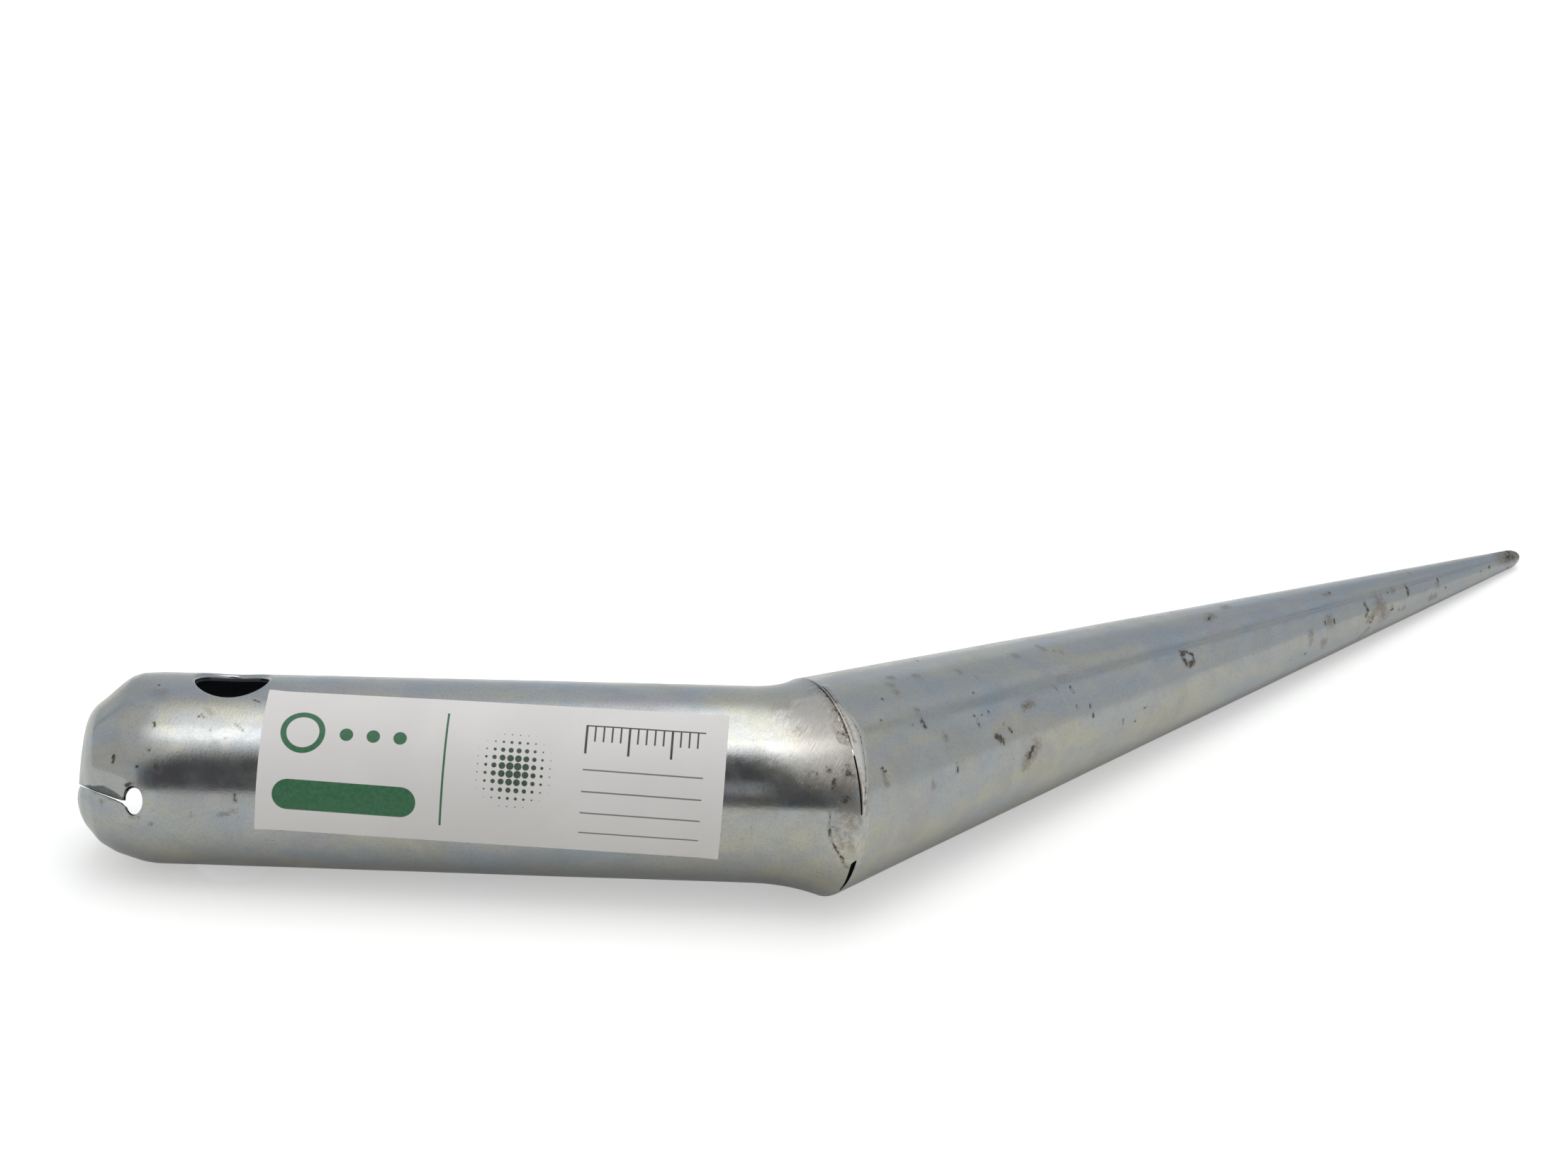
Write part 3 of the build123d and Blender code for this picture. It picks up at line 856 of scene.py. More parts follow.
class Nodes:
    """Small helper that adds shader nodes and links them."""

    def __init__(self, tree):
        self.tree = tree

    def put(self, socket, value):
        if isinstance(value, bpy.types.NodeSocket):
            self.tree.links.new(value, socket)
        else:
            socket.default_value = value

    def add(self, kind, inputs=(), **settings):
        """New node with its settings, and its inputs given in order or by name."""
        node = self.tree.nodes.new(kind)
        for name, value in settings.items():
            setattr(node, name, value)
        named = inputs.items() if isinstance(inputs, dict) else enumerate(inputs)
        for key, value in named:
            self.put(node.inputs[key], value)
        return node

    def math(self, operation, *values):
        return self.add("ShaderNodeMath", values, operation=operation).outputs[0]

    def times(self, first, second):
        return self.math("MULTIPLY", first, second)

    def plus(self, first, second):
        return self.math("ADD", first, second)

    def minus(self, first, second):
        return self.math("SUBTRACT", first, second)

    def most(self, first, second):
        return self.math("MAXIMUM", first, second)

    def ramp(self, value, low, high, to_low=0.0, to_high=1.0):
        """Smooth step between two values."""
        inputs = (value, low, high, to_low, to_high)
        return self.add("ShaderNodeMapRange", inputs, interpolation_type="SMOOTHSTEP").outputs[0]

    def hump(self, value, rise, fall):
        """Smooth step up over the range rise, and down again over the range fall."""
        return self.times(self.ramp(value, *rise), self.ramp(value, *fall, 1.0, 0.0))

    def mix(self, factor, first, second):
        """Mix of two colours."""
        return self.add("ShaderNodeMix", {0: factor, 6: first, 7: second}, data_type="RGBA").outputs[2]

    def mix_value(self, factor, first, second):
        return self.add("ShaderNodeMix", {0: factor, 2: first, 3: second}, data_type="FLOAT").outputs[0]

    def noise(self, place, scale, detail=2.0, distortion=0.0, rough=0.5):
        inputs = {"Vector": place, "Scale": scale, "Detail": detail}
        inputs.update({"Roughness": rough, "Distortion": distortion})
        return self.add("ShaderNodeTexNoise", inputs).outputs["Fac"]

    def dot(self, vector, direction):
        node = self.add("ShaderNodeVectorMath", (vector, direction), operation="DOT_PRODUCT")
        return node.outputs["Value"]

    def vector(self, x, y, z):
        return self.add("ShaderNodeCombineXYZ", (x, y, z)).outputs[0]


def new_material(name):
    material = bpy.data.materials.new(name)
    material.use_nodes = True
    material.node_tree.nodes.clear()
    return material, Nodes(material.node_tree)


def finish_material(n, colour, rough, height, relief, metallic):
    """Last nodes of a material: its colour and gloss, with fine bumps whose relief is in metres."""
    bump = n.add("ShaderNodeBump", {"Strength": 1.0, "Distance": relief, "Height": height})
    inputs = {"Base Color": colour, "Metallic": metallic, "Roughness": rough, "Normal": bump.outputs[0]}
    shader = n.add("ShaderNodeBsdfPrincipled", inputs)
    n.add("ShaderNodeOutputMaterial", {"Surface": shader.outputs[0]})


def surface_place(n, axis, outside):
    """Place in the shared frame, distance along a round body from the elbow and angle round it."""
    place = n.add("ShaderNodeTexCoord").outputs["Object"]
    shifted = n.add("ShaderNodeVectorMath", (place, ELBOW), operation="SUBTRACT").outputs[0]
    along, up, out = [n.dot(shifted, TOOL_AXES @ direction) for direction in (axis, UP, outside)]
    return place, along, n.math("ARCTAN2", up, out)


# Zinc-plated steel

BLUE_ZINC = (0.375, 0.420, 0.465, 1)
GREY_ZINC = (0.440, 0.450, 0.440, 1)
YELLOW_ZINC = (0.490, 0.475, 0.400, 1)
VIOLET_ZINC = (0.435, 0.405, 0.450, 1)
CLOUDED_ZINC = (0.33, 0.34, 0.335, 1)
STREAKED_ZINC = (0.49, 0.48, 0.44, 1)
TARNISHED_ZINC = (0.33, 0.35, 0.355, 1)
GRAIN_SHADE = (0.25, 0.25, 0.245, 1)
# Painted shade: a dark blue-grey laid on the inside faces of the handle and the spike so that the inside
# looks dark
PAINTED_INSIDE_SHADE = (0.20, 0.21, 0.25, 1)
GROUND_SHADE = (0.42, 0.39, 0.355, 1)
GROUND_LIGHT = (0.74, 0.71, 0.66, 1)
GROUND_BRIGHT = (0.93, 0.88, 0.80, 1)
GROUND_FLECK = (0.86, 0.83, 0.77, 1)
BROWN_DIRT = (0.19, 0.14, 0.10, 1)
# Dark dirt colour, also used for the painted shade along the spike's ground strip
DARK_DIRT_AND_SHADE = (0.045, 0.036, 0.029, 1)

# How far the tint leans to yellow at two distances from the elbow, in metres: near, far, at near, at far
HANDLE_WARMTH = (-0.06, 0.0, -0.01, 0.05)
SPIKE_WARMTH = (0.0, 0.20, 0.04, -0.05)


def plating(n, place, along, arc, warmth):
    """Plating whose thin colours drift in broad patches drawn out along the tool; its clouds and grain."""
    drawn = n.vector(n.times(along, 0.40), arc, 0.0)
    drift = n.mix_value(0.25, n.noise(drawn, 75.0, 4.0, 0.8), n.noise(place, 200.0, 3.0, 0.8))
    drift = n.plus(drift, n.ramp(along, *warmth))
    violet = n.noise(place, 75.0, 3.0, 0.8)
    cloud = n.noise(place, 130.0, 6.0, 0.6, 0.62)
    streak = n.noise(drawn, 420.0, 4.0, 0.3)
    grain = n.noise(place, 2300.0, 3.0, 0.0, 0.65)
    colour = n.mix(n.ramp(drift, 0.36, 0.50), BLUE_ZINC, GREY_ZINC)
    for share, tint in (
            (n.ramp(drift, 0.50, 0.60), YELLOW_ZINC),
            (n.ramp(violet, 0.54, 0.68, 0.0, 0.55), VIOLET_ZINC),
            (n.ramp(cloud, 0.35, 0.70, 0.0, 0.35), CLOUDED_ZINC),
            (n.ramp(streak, 0.45, 0.75, 0.0, 0.22), STREAKED_ZINC),
            (n.ramp(along, 0.10, 0.23, 0.0, 0.40), TARNISHED_ZINC),
            (n.ramp(grain, 0.30, 0.55, 0.30, 0.0), GRAIN_SHADE)):
        colour = n.mix(share, colour, tint)
    return colour, cloud, grain


def ground_metal(n, place, along, arc, field):
    """Ground metal, bright, warm and scratched across the joint: its share, colour and scratches."""
    slant = n.plus(n.times(along, 0.50), n.times(arc, 0.87))
    cross = n.minus(n.times(along, 0.87), n.times(arc, 0.50))
    bend = n.times(n.noise(place, 110.0, 2.0), 0.0012)
    scratch = n.noise(n.vector(n.times(slant, 0.06), n.plus(cross, bend), 0.0), 5200.0, 6.0, 0.6, 0.75)
    patchy = n.ramp(n.noise(place, 420.0, 5.0), 0.40, 0.66, 0.10, 0.9)
    scratch = n.mix_value(patchy, 0.5, scratch)
    fleck = n.ramp(n.noise(place, 2600.0, 4.0, 0.5), 0.55, 0.75, 0.0, 0.45)
    frayed = n.times(n.minus(n.noise(place, 420.0, 6.0, 0.0, 0.65), 0.5), 1.3)
    reach = n.plus(n.plus(field, frayed), n.times(scratch, 0.35))
    share = n.times(n.ramp(reach, 0.50, 1.05), n.ramp(field, 0.0, 0.2))
    colour = n.mix(n.ramp(scratch, 0.36, 0.64), GROUND_SHADE, GROUND_LIGHT)
    colour = n.mix(n.ramp(field, 0.95, 1.35, 0.0, 0.75), colour, GROUND_BRIGHT)
    colour = n.mix(fleck, colour, GROUND_FLECK)
    return share, colour, scratch


def dirt_and_painted_shade(n, place, dark_field, brown_field):
    """Shares of brown and of dark dirt: freckles, stains and specks with ragged outlines. The dark share
    also carries the painted shade along the spike's ground strip.
    """
    coarse = n.minus(n.noise(place, 1100.0, 3.0, 0.4), 0.5)
    fine = n.minus(n.noise(place, 3600.0, 3.0), 0.5)
    ragged = n.plus(n.times(coarse, 1.5), n.times(fine, 0.9))
    freckle = n.times(n.ramp(n.noise(place, 850.0, 2.0), 0.64, 0.74),
                      n.ramp(n.noise(place, 60.0, 2.0), 0.42, 0.6, 0.0, 0.30))
    speck = n.times(n.ramp(n.noise(place, 1900.0, 2.0), 0.70, 0.77),
                    n.ramp(n.noise(place, 85.0, 2.0), 0.48, 0.62, 0.0, 0.7))
    halo = n.ramp(dark_field, 0.02, 0.7, 0.0, 0.35)
    brown = n.times(n.ramp(n.plus(brown_field, ragged), 0.15, 1.25), n.ramp(brown_field, 0.0, 0.4))
    dark = n.times(n.ramp(n.plus(dark_field, ragged), 0.50, 0.95), n.ramp(dark_field, 0.05, 0.35))
    return n.most(n.most(brown, halo), freckle), n.most(dark, speck)


def zinc_material(name, axis, outside, radius, warmth):
    """Plated steel with the wear and painted shade that each mesh carries: dark dirt with a painted shade
    line, brown, ground, and painted shade on the inside faces.
    """
    material, n = new_material(name)
    place, along, angle = surface_place(n, axis, outside)
    arc = n.times(angle, radius * MM)
    wear_and_shade = n.add("ShaderNodeAttribute", attribute_name="wear_and_shade")
    fields = n.add("ShaderNodeSeparateColor", (wear_and_shade.outputs["Color"],))
    dark_field, brown_field, ground_field = fields.outputs
    painted_inside_shade = wear_and_shade.outputs["Alpha"]
    colour, cloud, grain = plating(n, place, along, arc, warmth)
    ground, bare, scratch = ground_metal(n, place, along, arc, ground_field)
    brown, dark = dirt_and_painted_shade(n, place, dark_field, brown_field)
    colour = n.mix(n.times(ground, 0.85), colour, bare)
    colour = n.mix(n.times(brown, 0.60), colour, BROWN_DIRT)
    # Dark dirt, and the painted shade line along the spike's ground strip
    colour = n.mix(n.times(dark, 0.82), colour, DARK_DIRT_AND_SHADE)
    # Painted shade: the inside faces take the dark inside colour
    colour = n.mix(painted_inside_shade, colour, PAINTED_INSIDE_SHADE)

    # Gloss: smooth plating, rougher where it is clouded, ground, dirty or painted with shade, and on the
    # inside
    rough = n.ramp(cloud, 0.30, 0.75, 0.13, 0.26)
    for share, roughness in ((ground, 0.24), (n.most(dark, n.times(brown, 0.6)), 0.48), (painted_inside_shade, 0.6)):
        rough = n.mix_value(share, rough, roughness)

    # Relief: the fine crystal grain of the plating, its faint brush marks and the scratches
    brushed = n.noise(n.vector(along, n.times(arc, 0.05), 0.0), 2600.0, 3.0)
    height = n.plus(n.times(grain, 0.38), n.times(n.noise(place, 800.0, 3.0), 0.18))
    height = n.plus(height, n.times(brushed, 0.13))
    height = n.plus(height, n.times(n.times(scratch, ground), 0.55))
    finish_material(n, colour, rough, height, relief=0.000026, metallic=1.0)
    return material


def bead_material():
    """Weld beads under the plating: duller, with dark brown flecks in a fine grain."""
    material, n = new_material("plated_weld")
    place = n.add("ShaderNodeTexCoord").outputs["Object"]
    cloud = n.noise(place, 220.0, 4.0, 0.6)
    grain = n.noise(place, 1800.0, 3.0)
    colour = n.mix(n.ramp(cloud, 0.35, 0.65), (0.36, 0.38, 0.40, 1), (0.56, 0.55, 0.50, 1))
    colour = n.mix(n.ramp(grain, 0.62, 0.75, 0.0, 0.6), colour, (0.20, 0.17, 0.14, 1))
    rough = n.ramp(cloud, 0.3, 0.7, 0.28, 0.45)
    finish_material(n, colour, rough, grain, relief=0.00003, metallic=1.0)
    return material


# Label paper, printed with a generic design; u and v are millimetres along and across it from its middle

PAPER = (0.79, 0.76, 0.745, 1)
SMUDGED_PAPER = (0.75, 0.72, 0.705, 1)
PRINT_GREEN = (0.018, 0.135, 0.052, 1)
PRINT_DOTS = (0.035, 0.075, 0.045, 1)
PRINT_BLACK = (0.022, 0.022, 0.024, 1)
PRINT_GREY = (0.16, 0.16, 0.165, 1)


def band(n, value, middle, half, soft=0.07):
    """1 where a coordinate is within half of a middle value."""
    away = n.math("ABSOLUTE", n.minus(value, middle))
    return n.ramp(away, half - soft, half + soft, 1.0, 0.0)


def patch(n, u, v, middle, half_size):
    return n.times(band(n, u, middle[0], half_size[0]), band(n, v, middle[1], half_size[1]))


def distance(n, u, v, middle=(0.0, 0.0)):
    across = n.minus(u, middle[0])
    up = n.minus(v, middle[1])
    return n.math("SQRT", n.plus(n.times(across, across), n.times(up, up)))


def disc(n, u, v, middle, radius):
    return n.ramp(distance(n, u, v, middle), radius - 0.07, radius + 0.07, 1.0, 0.0)


def repeated(n, value, step):
    """Distance of a value from the nearest whole step."""
    share = n.math("FRACT", n.plus(n.math("DIVIDE", value, step), 0.5))
    return n.times(n.minus(share, 0.5), step)


def stacked(n, masks):
    total = masks[0]
    for mask in masks[1:]:
        total = n.most(total, mask)
    return total


def green_print(n, u, v):
    """Plain green bar with round ends, a ring, three dots and a rule."""
    bar = patch(n, u, v, (-27.0, -7.0), (10.4, 2.9))
    ends = [disc(n, u, v, (place, -7.0), 2.9) for place in (-37.4, -16.6)]
    ring = band(n, distance(n, u, v, (-35.6, 5.0)), 3.6, 0.55)
    dots = [disc(n, u, v, (place, 5.0), 1.25) for place in (-27.5, -22.5, -17.5)]
    rule = patch(n, u, v, (-9.0, 0.0), (0.2, 11.0))
    return stacked(n, [bar, ring, rule] + ends + dots)


def dot_screen(n, u, v):
    """Round field of dots that shrink towards its edge."""
    pitch = 1.5
    middle = (4.0, 0.5)
    cell = [repeated(n, n.minus(value, start + pitch / 2), pitch) for value, start in zip((u, v), middle)]
    size = n.ramp(distance(n, u, v, middle), 0.5, 9.0, 0.72, 0.0)
    return n.ramp(n.minus(distance(n, *cell), size), -0.06, 0.06, 1.0, 0.0)


def scale_print(n, u, v):
    """Plain depth scale: a base line with short and long ticks."""
    step = 1.6
    from_start = n.minus(u, 17.0)
    base = patch(n, u, v, (28.0, 10.2), (11.2, 0.14))
    short = n.times(band(n, repeated(n, from_start, step), 0.0, 0.16),
                    patch(n, u, v, (28.0, 8.6), (11.2, 1.6)))
    long = n.times(band(n, repeated(n, from_start, 5 * step), 0.0, 0.22),
                   patch(n, u, v, (28.0, 7.4), (11.4, 2.8)))
    return stacked(n, [base, short, long])


def blank_lines(n, u, v):
    return stacked(n, [patch(n, u, v, (28.0, height), (11.2, 0.13)) for height in (1.6, -2.4, -6.4, -10.4)])


def label_material():
    """Paper with a generic print: green shapes, a field of dots, a plain scale and blank lines."""
    material, n = new_material("printed_paper")
    place, along, angle = surface_place(n, ALONG_HANDLE, HANDLE_OUTSIDE)
    run = n.plus(n.math("DIVIDE", along, MM), HANDLE_LENGTH - LABEL_MIDDLE)
    arc = n.times(n.minus(angle, LABEL_MIDDLE_ANGLE), handle_radius(LABEL_MIDDLE))
    u = n.plus(n.times(run, cos(LABEL_TURN)), n.times(arc, sin(LABEL_TURN)))
    v = n.minus(n.times(arc, cos(LABEL_TURN)), n.times(run, sin(LABEL_TURN)))
    fibre = n.noise(place, 1400.0, 4.0)
    smudge = n.noise(place, 45.0, 3.0, 0.5)
    colour = n.mix(n.ramp(smudge, 0.35, 0.70), PAPER, SMUDGED_PAPER)
    ink = n.ramp(fibre, 0.25, 0.75, 1.0, 0.95)
    for shapes, tint in ((green_print, PRINT_GREEN), (dot_screen, PRINT_DOTS), (scale_print, PRINT_BLACK),
                         (blank_lines, PRINT_GREY)):
        colour = n.mix(n.times(shapes(n, u, v), ink), colour, tint)
    rough = n.ramp(fibre, 0.3, 0.7, 0.45, 0.6)
    finish_material(n, colour, rough, fibre, relief=0.00002, metallic=0.0)
    return material


# Studio

def make_world():
    """Soft room: a bright ceiling on the camera's side, pale walls and a dark gap behind the camera."""
    world = bpy.data.worlds.new("studio")
    scene.world = world
    world.use_nodes = True
    world.node_tree.nodes.clear()
    n = Nodes(world.node_tree)
    direction = n.add("ShaderNodeTexCoord").outputs["Generated"]
    x, y, z = n.add("ShaderNodeSeparateXYZ", (direction,)).outputs

    # Angles in degrees: azimuth from the camera's side, elevation, and the way over from front to back
    towards_camera = n.times(y, -1.0)
    azimuth = n.math("DEGREES", n.math("ABSOLUTE", n.math("ARCTAN2", x, towards_camera)))
    elevation = n.math("DEGREES", n.math("ARCSINE", z))
    lean = n.plus(n.ramp(x, -0.32, -0.15, -14, 0), n.ramp(x, -0.17, 0.02, 0, 22))
    over = n.minus(n.math("DEGREES", n.math("ARCTAN2", z, towards_camera)), lean)

    walls = n.mix(n.ramp(y, -0.1, 0.5), (0.63, 0.63, 0.615, 1), (0.62, 0.665, 0.715, 1))
    walls = n.mix(n.ramp(elevation, 31, 35, 0.0, 0.6), walls, (0.70, 0.72, 0.74, 1))
    behind = n.times(n.hump(azimuth, (130, 148), (160, 172)), 0.35)
    walls = n.mix(behind, walls, (0.40, 0.43, 0.47, 1))
    from_corner = n.math("ABSOLUTE", n.minus(azimuth, 125.7))
    walls = n.mix(n.ramp(from_corner, 1.0, 3.0, 0.9, 0.0), walls, (0.36, 0.37, 0.38, 1))
    ceiling = n.times(n.hump(over, (44, 60), (84, 120)), n.hump(x, (-0.31, -0.08), (0.25, 0.70)))
    room = n.mix(ceiling, walls, (2.1, 2.13, 2.15, 1))
    shelf = n.times(n.hump(elevation, (11, 16), (25, 31)), n.ramp(x, -0.06, -0.01))
    gap = n.mix(shelf, (0.10, 0.10, 0.105, 1), (0.50, 0.53, 0.56, 1))
    in_gap = n.times(n.ramp(azimuth, 17, 32, 1.0, 0.0), n.ramp(n.minus(elevation, lean), 38, 50, 1.0, 0.0))
    background = n.add("ShaderNodeBackground", {"Color": n.mix(in_gap, room, gap)})
    n.add("ShaderNodeOutputWorld", {"Surface": background.outputs[0]})


def make_floor():
    """Wide white floor, a little below the tool, that glows to the camera as paper in the light does."""
    half = 12.0
    below = -0.0003
    mesh = bpy.data.meshes.new("floor")
    corners = [(-half, -half, below), (half, -half, below), (half, half, below), (-half, half, below)]
    mesh.from_pydata(corners, [], [(0, 1, 2, 3)])
    floor = bpy.data.objects.new("floor", mesh)
    scene.collection.objects.link(floor)
    material, n = new_material("floor_white")
    diffuse = n.add("ShaderNodeBsdfDiffuse", {"Color": (0.80, 0.80, 0.775, 1)})
    rays = n.add("ShaderNodeLightPath").outputs
    strength = n.times(n.plus(rays["Is Camera Ray"], rays["Is Transmission Ray"]), 0.42)
    strength = n.plus(strength, n.times(rays["Is Glossy Ray"], 0.08))
    glow = n.add("ShaderNodeEmission", {"Color": (1, 1, 1, 1), "Strength": strength})
    both = n.add("ShaderNodeAddShader", (diffuse.outputs[0], glow.outputs[0]))
    n.add("ShaderNodeOutputMaterial", {"Surface": both.outputs[0]})
    mesh.materials.append(material)


def add_softbox(name, place, target, width, depth, power):
    data = bpy.data.lights.new(name, "AREA")
    data.shape = "RECTANGLE"
    data.size = width
    data.size_y = depth
    data.energy = power
    lamp = bpy.data.objects.new(name, data)
    scene.collection.objects.link(lamp)
    lamp.location = place
    lamp.rotation_mode = "QUATERNION"
    lamp.rotation_quaternion = (Vector(target) - Vector(place)).to_track_quat("-Z", "Y")


# Wear: where each speck, stain and ground patch lies. A stroke is its half width in mm, then the place
# of each of its points: distance in mm and angle in degrees. On the handle the distance is from the
# rear end, on the spike from the elbow.

HANDLE_DARK = (
    (0.4, 15.7, 77.9), (0.35, 33.9, 65.6, 35.2, 63.5), (0.3, 24.0, 51.5, 24.6, 53.2, 25.4, 50.8),
    (0.28, 31.2, 47.5, 32.6, 43.2), (0.45, 15.6, 30.2), (0.45, 13.5, 19.7), (0.5, 8.9, 26.6, 8.8, 22.8),
    (0.9, 17.0, 20.4, 17.4, 18.4), (0.4, 31.6, 5.4, 31.8, 0.6), (0.45, 16.0, 46.9, 16.2, 44.6),
    (0.3, 22.0, 62.0), (0.55, 11.6, 8.0, 12.6, 9.6), (0.3, 26.5, 43.0), (0.35, 29.4, 38.0),
)
HANDLE_BROWN = (
    (2.0, 16.4, 69.2), (0.6, 12.3, -11.6, 13.9, -11.2), (0.7, 30.8, 27.4), (0.7, 23.6, -9.1),
    (0.8, 16.0, -15.9), (0.9, 6.8, -4.0), (0.8, 28.6, -8.6, 30.2, -7.0, 31.8, -4.4),
    (0.9, 25.6, 57.0, 26.4, 54.0),
)
SPIKE_DARK = (
    (0.35, 31.5, 97.8, 31.7, 94.7), (0.4, 9.1, 63.4, 9.4, 62.0), (0.45, 4.5, 50.2), (0.45, 12.1, 43.0),
    (0.5, 15.4, 48.6, 15.4, 47.1), (0.45, 15.4, 45.7, 15.3, 43.0), (0.9, 15.1, 42.2, 15.1, 40.4),
    (0.35, 33.9, 52.4, 34.3, 51.3), (0.4, 30.4, 37.6, 30.7, 35.6), (0.5, 30.4, 33.1, 30.8, 30.1),
    (0.35, 32.6, 36.8), (0.35, 34.9, 37.8, 35.2, 36.2), (0.65, 21.2, 12.2, 21.1, 9.8), (0.3, 19.8, 7.8),
    (0.3, 21.1, 14.7), (0.4, -1.4, 25.2, -0.9, 25.3, -0.3, 23.4, -1.0, 23.4),
    (1.0, 34.8, 21.7, 35.8, 20.1, 36.7, 17.3), (0.55, 39.4, 23.7, 40.0, 21.4), (0.4, 36.7, 25.0),
    (0.45, 38.1, 27.8), (0.4, 38.4, 25.3), (0.5, 46.5, 34.5, 46.5, 33.4), (0.35, 47.6, 35.3),
    (0.4, 49.0, 34.9), (0.5, 62.8, 38.1, 62.9, 33.6), (0.5, 62.8, 23.5, 62.9, 21.4),
    (0.45, 67.4, 21.3, 67.3, 19.8), (0.5, 67.6, 14.2, 67.5, 12.2), (0.4, 78.2, 1.0, 78.3, -2.6),
    (0.4, 86.7, 3.5), (0.95, 103.9, 39.8, 103.7, 33.4, 103.9, 28.5, 105.2, 25.6),
    (0.7, 105.2, 25.6, 107.0, 28.6), (0.55, 107.0, 28.6, 107.2, 34.9, 105.7, 38.4, 103.9, 39.8),
    (0.35, 116.6, 43.6), (0.5, 120.9, 67.7, 122.2, 71.0), (0.4, 83.0, -4.6), (0.3, 86.1, 3.4),
    (0.35, 43.2, 10.0), (1.0, 44.6, 1.3, 45.8, 5.2), (0.5, 45.8, 5.2, 46.7, 7.4),
    (0.75, 179.3, 31.2, 180.0, 18.7, 178.8, 11.7), (0.65, 182.0, 3.0, 181.2, -5.0),
    (0.55, 160.8, 24.1, 161.2, 20.5), (0.5, 164.8, 22.7, 164.8, 17.3), (0.35, 163.3, 27.7),
    (0.4, 151.9, -12.6, 152.4, -11.2), (0.75, 199.1, 43.1, 199.6, 30.3, 198.8, 23.4),
    (0.4, 213.7, 36.2, 213.3, 15.2), (0.4, 207.1, 17.7), (0.35, 207.8, -3.1), (0.4, 216.7, 6.0),
    (0.45, 190.7, 38.6), (0.5, 200.2, 91.1), (0.5, 169.2, 70.2, 169.3, 66.1), (0.35, 158.8, 77.8),
    (0.35, 150.0, 90.4), (0.4, 189.9, 5.2, 191.6, 3.7), (0.65, 239.2, 20.5), (0.5, 249.0, -23.0),
    (0.4, 232.3, 86.8), (0.3, 234.7, 15.7),
)
SPIKE_BROWN = (
    (1.1, 120.4, 67.0, 123.9, 74.1), (0.9, 130.5, 81.4, 132.5, 85.0), (0.8, 67.8, 68.0),
    (0.8, 64.2, 79.9, 64.4, 75.0), (0.9, 45.9, 33.9, 49.0, 35.3), (1.7, 43.8, -2.0, 47.2, 7.0),
    (0.7, 166.6, 66.2, 168.7, 65.0), (0.8, 209.3, -6.6, 212.0, -7.3), (0.8, 212.9, 23.6),
    (1.0, 154.1, 5.7), (0.9, 159.3, -3.2), (0.9, 179.7, 1.5, 182.0, 7.0, 184.5, 17.6), (0.9, 187.2, 19.0),
    (0.8, 190.6, 8.3), (0.7, 194.1, -2.2), (0.7, 15.7, 51.3), (1.0, 17.4, 78.7), (1.0, 23.7, 75.0),
    (0.9, 14.8, 71.7), (1.0, 14.3, 65.1), (0.9, 19.6, 30.7), (0.6, 38.6, 62.2), (0.9, 35.6, 71.1),
    (0.6, -1.1, 22.7, -0.9, 19.6), (0.8, -0.7, 16.9), (0.7, 13.3, 7.8, 13.4, 5.7),
    (0.45, 57.5, 42.8, 58.5, 38.7), (0.5, 66.5, 71.1), (0.5, 68.2, 67.6), (1.2, 54.8, 74.7),
    (0.7, 180.9, -15.4, 179.7, -20.4), (0.6, 178.5, -27.3, 177.9, -32.5), (1.2, 154.2, 12.5),
    (0.7, 153.6, 0.5), (1.3, 159.8, -6.1), (1.8, 162.9, 22.8), (2.0, 185.3, 25.8, 187.0, 1.6),
    (0.7, 211.8, -10.9), (0.5, 205.2, 75.6, 205.1, 68.9), (0.5, 195.9, -5.7, 196.8, -2.6),
    (0.9, 193.2, 40.0),
)
# Scorched spots beside the open joint, crust round the side weld and their stains, on the handle
ELBOW_DARK = (
    (0.5, 143.4, 48.5, 145.0, 46.0), (1.0, 142.8, 22.0, 142.9, 18.4), (1.2, 145.3, 27.4),
    (1.1, 144.9, 13.5), (0.7, 141.6, 28.2), (0.35, 138.2, 19.0),
)
ELBOW_CRUST = (
    (0.3, 141.9, 8.0, 142.1, 0.5), (0.42, 142.1, -1.0, 142.4, -8.7, 143.4, -13.5),
    (0.45, 143.6, -15.0, 144.3, -17.6, 145.3, -22.9), (0.4, 145.5, -24.0, 146.9, -25.8),
)
ELBOW_BROWN = (
    (1.3, 141.8, 28.0), (2.6, 145.4, 27.0, 144.8, 14.0, 145.8, 2.0), (1.2, 136.0, 52.0),
    (1.0, 143.4, 0.0, 144.6, -12.0), (0.8, 146.0, -4.0, 146.4, -14.0),
)

# Spread and strengths of the marks, and a small mark like a ring on the handle
BROWN_SPREAD = 1.3
HANDLE_STAIN = 0.8
SCORCH_STRENGTH = 0.92
CRUST_STRENGTH = 0.9
CRACK_STRENGTH = 0.9
RING_STRENGTH = 0.65
RING_PLACE = (138.8, 25.3)
RING_RADIUS = 0.75
RING_WIDTH = 0.28


def rising(values, start, end):
    """0 at start and 1 at end, straight between them and level beyond; end may be the smaller."""
    return np.clip((values - start) / (end - start), 0, 1)


def stroke_field(along, arc, scale, stroke, spread):
    """Soft mask, 1 on a stroke and 0 away from it."""
    width, *numbers = stroke
    ends = [(place, radians(turn) * scale) for place, turn in zip(numbers[::2], numbers[1::2])]
    if len(ends) == 1:
        ends = ends * 2
    nearest = np.full(along.shape, 1e9)
    for (start_x, start_y), (end_x, end_y) in zip(ends, ends[1:]):
        run_x = end_x - start_x
        run_y = end_y - start_y
        length = max(run_x * run_x + run_y * run_y, 1e-9)
        from_x = along - start_x
        from_y = arc - start_y
        share = np.clip((from_x * run_x + from_y * run_y) / length, 0, 1)
        nearest = np.minimum(nearest, np.hypot(from_x - share * run_x, from_y - share * run_y))
    return np.exp(-(nearest / (spread * width)) ** 2)


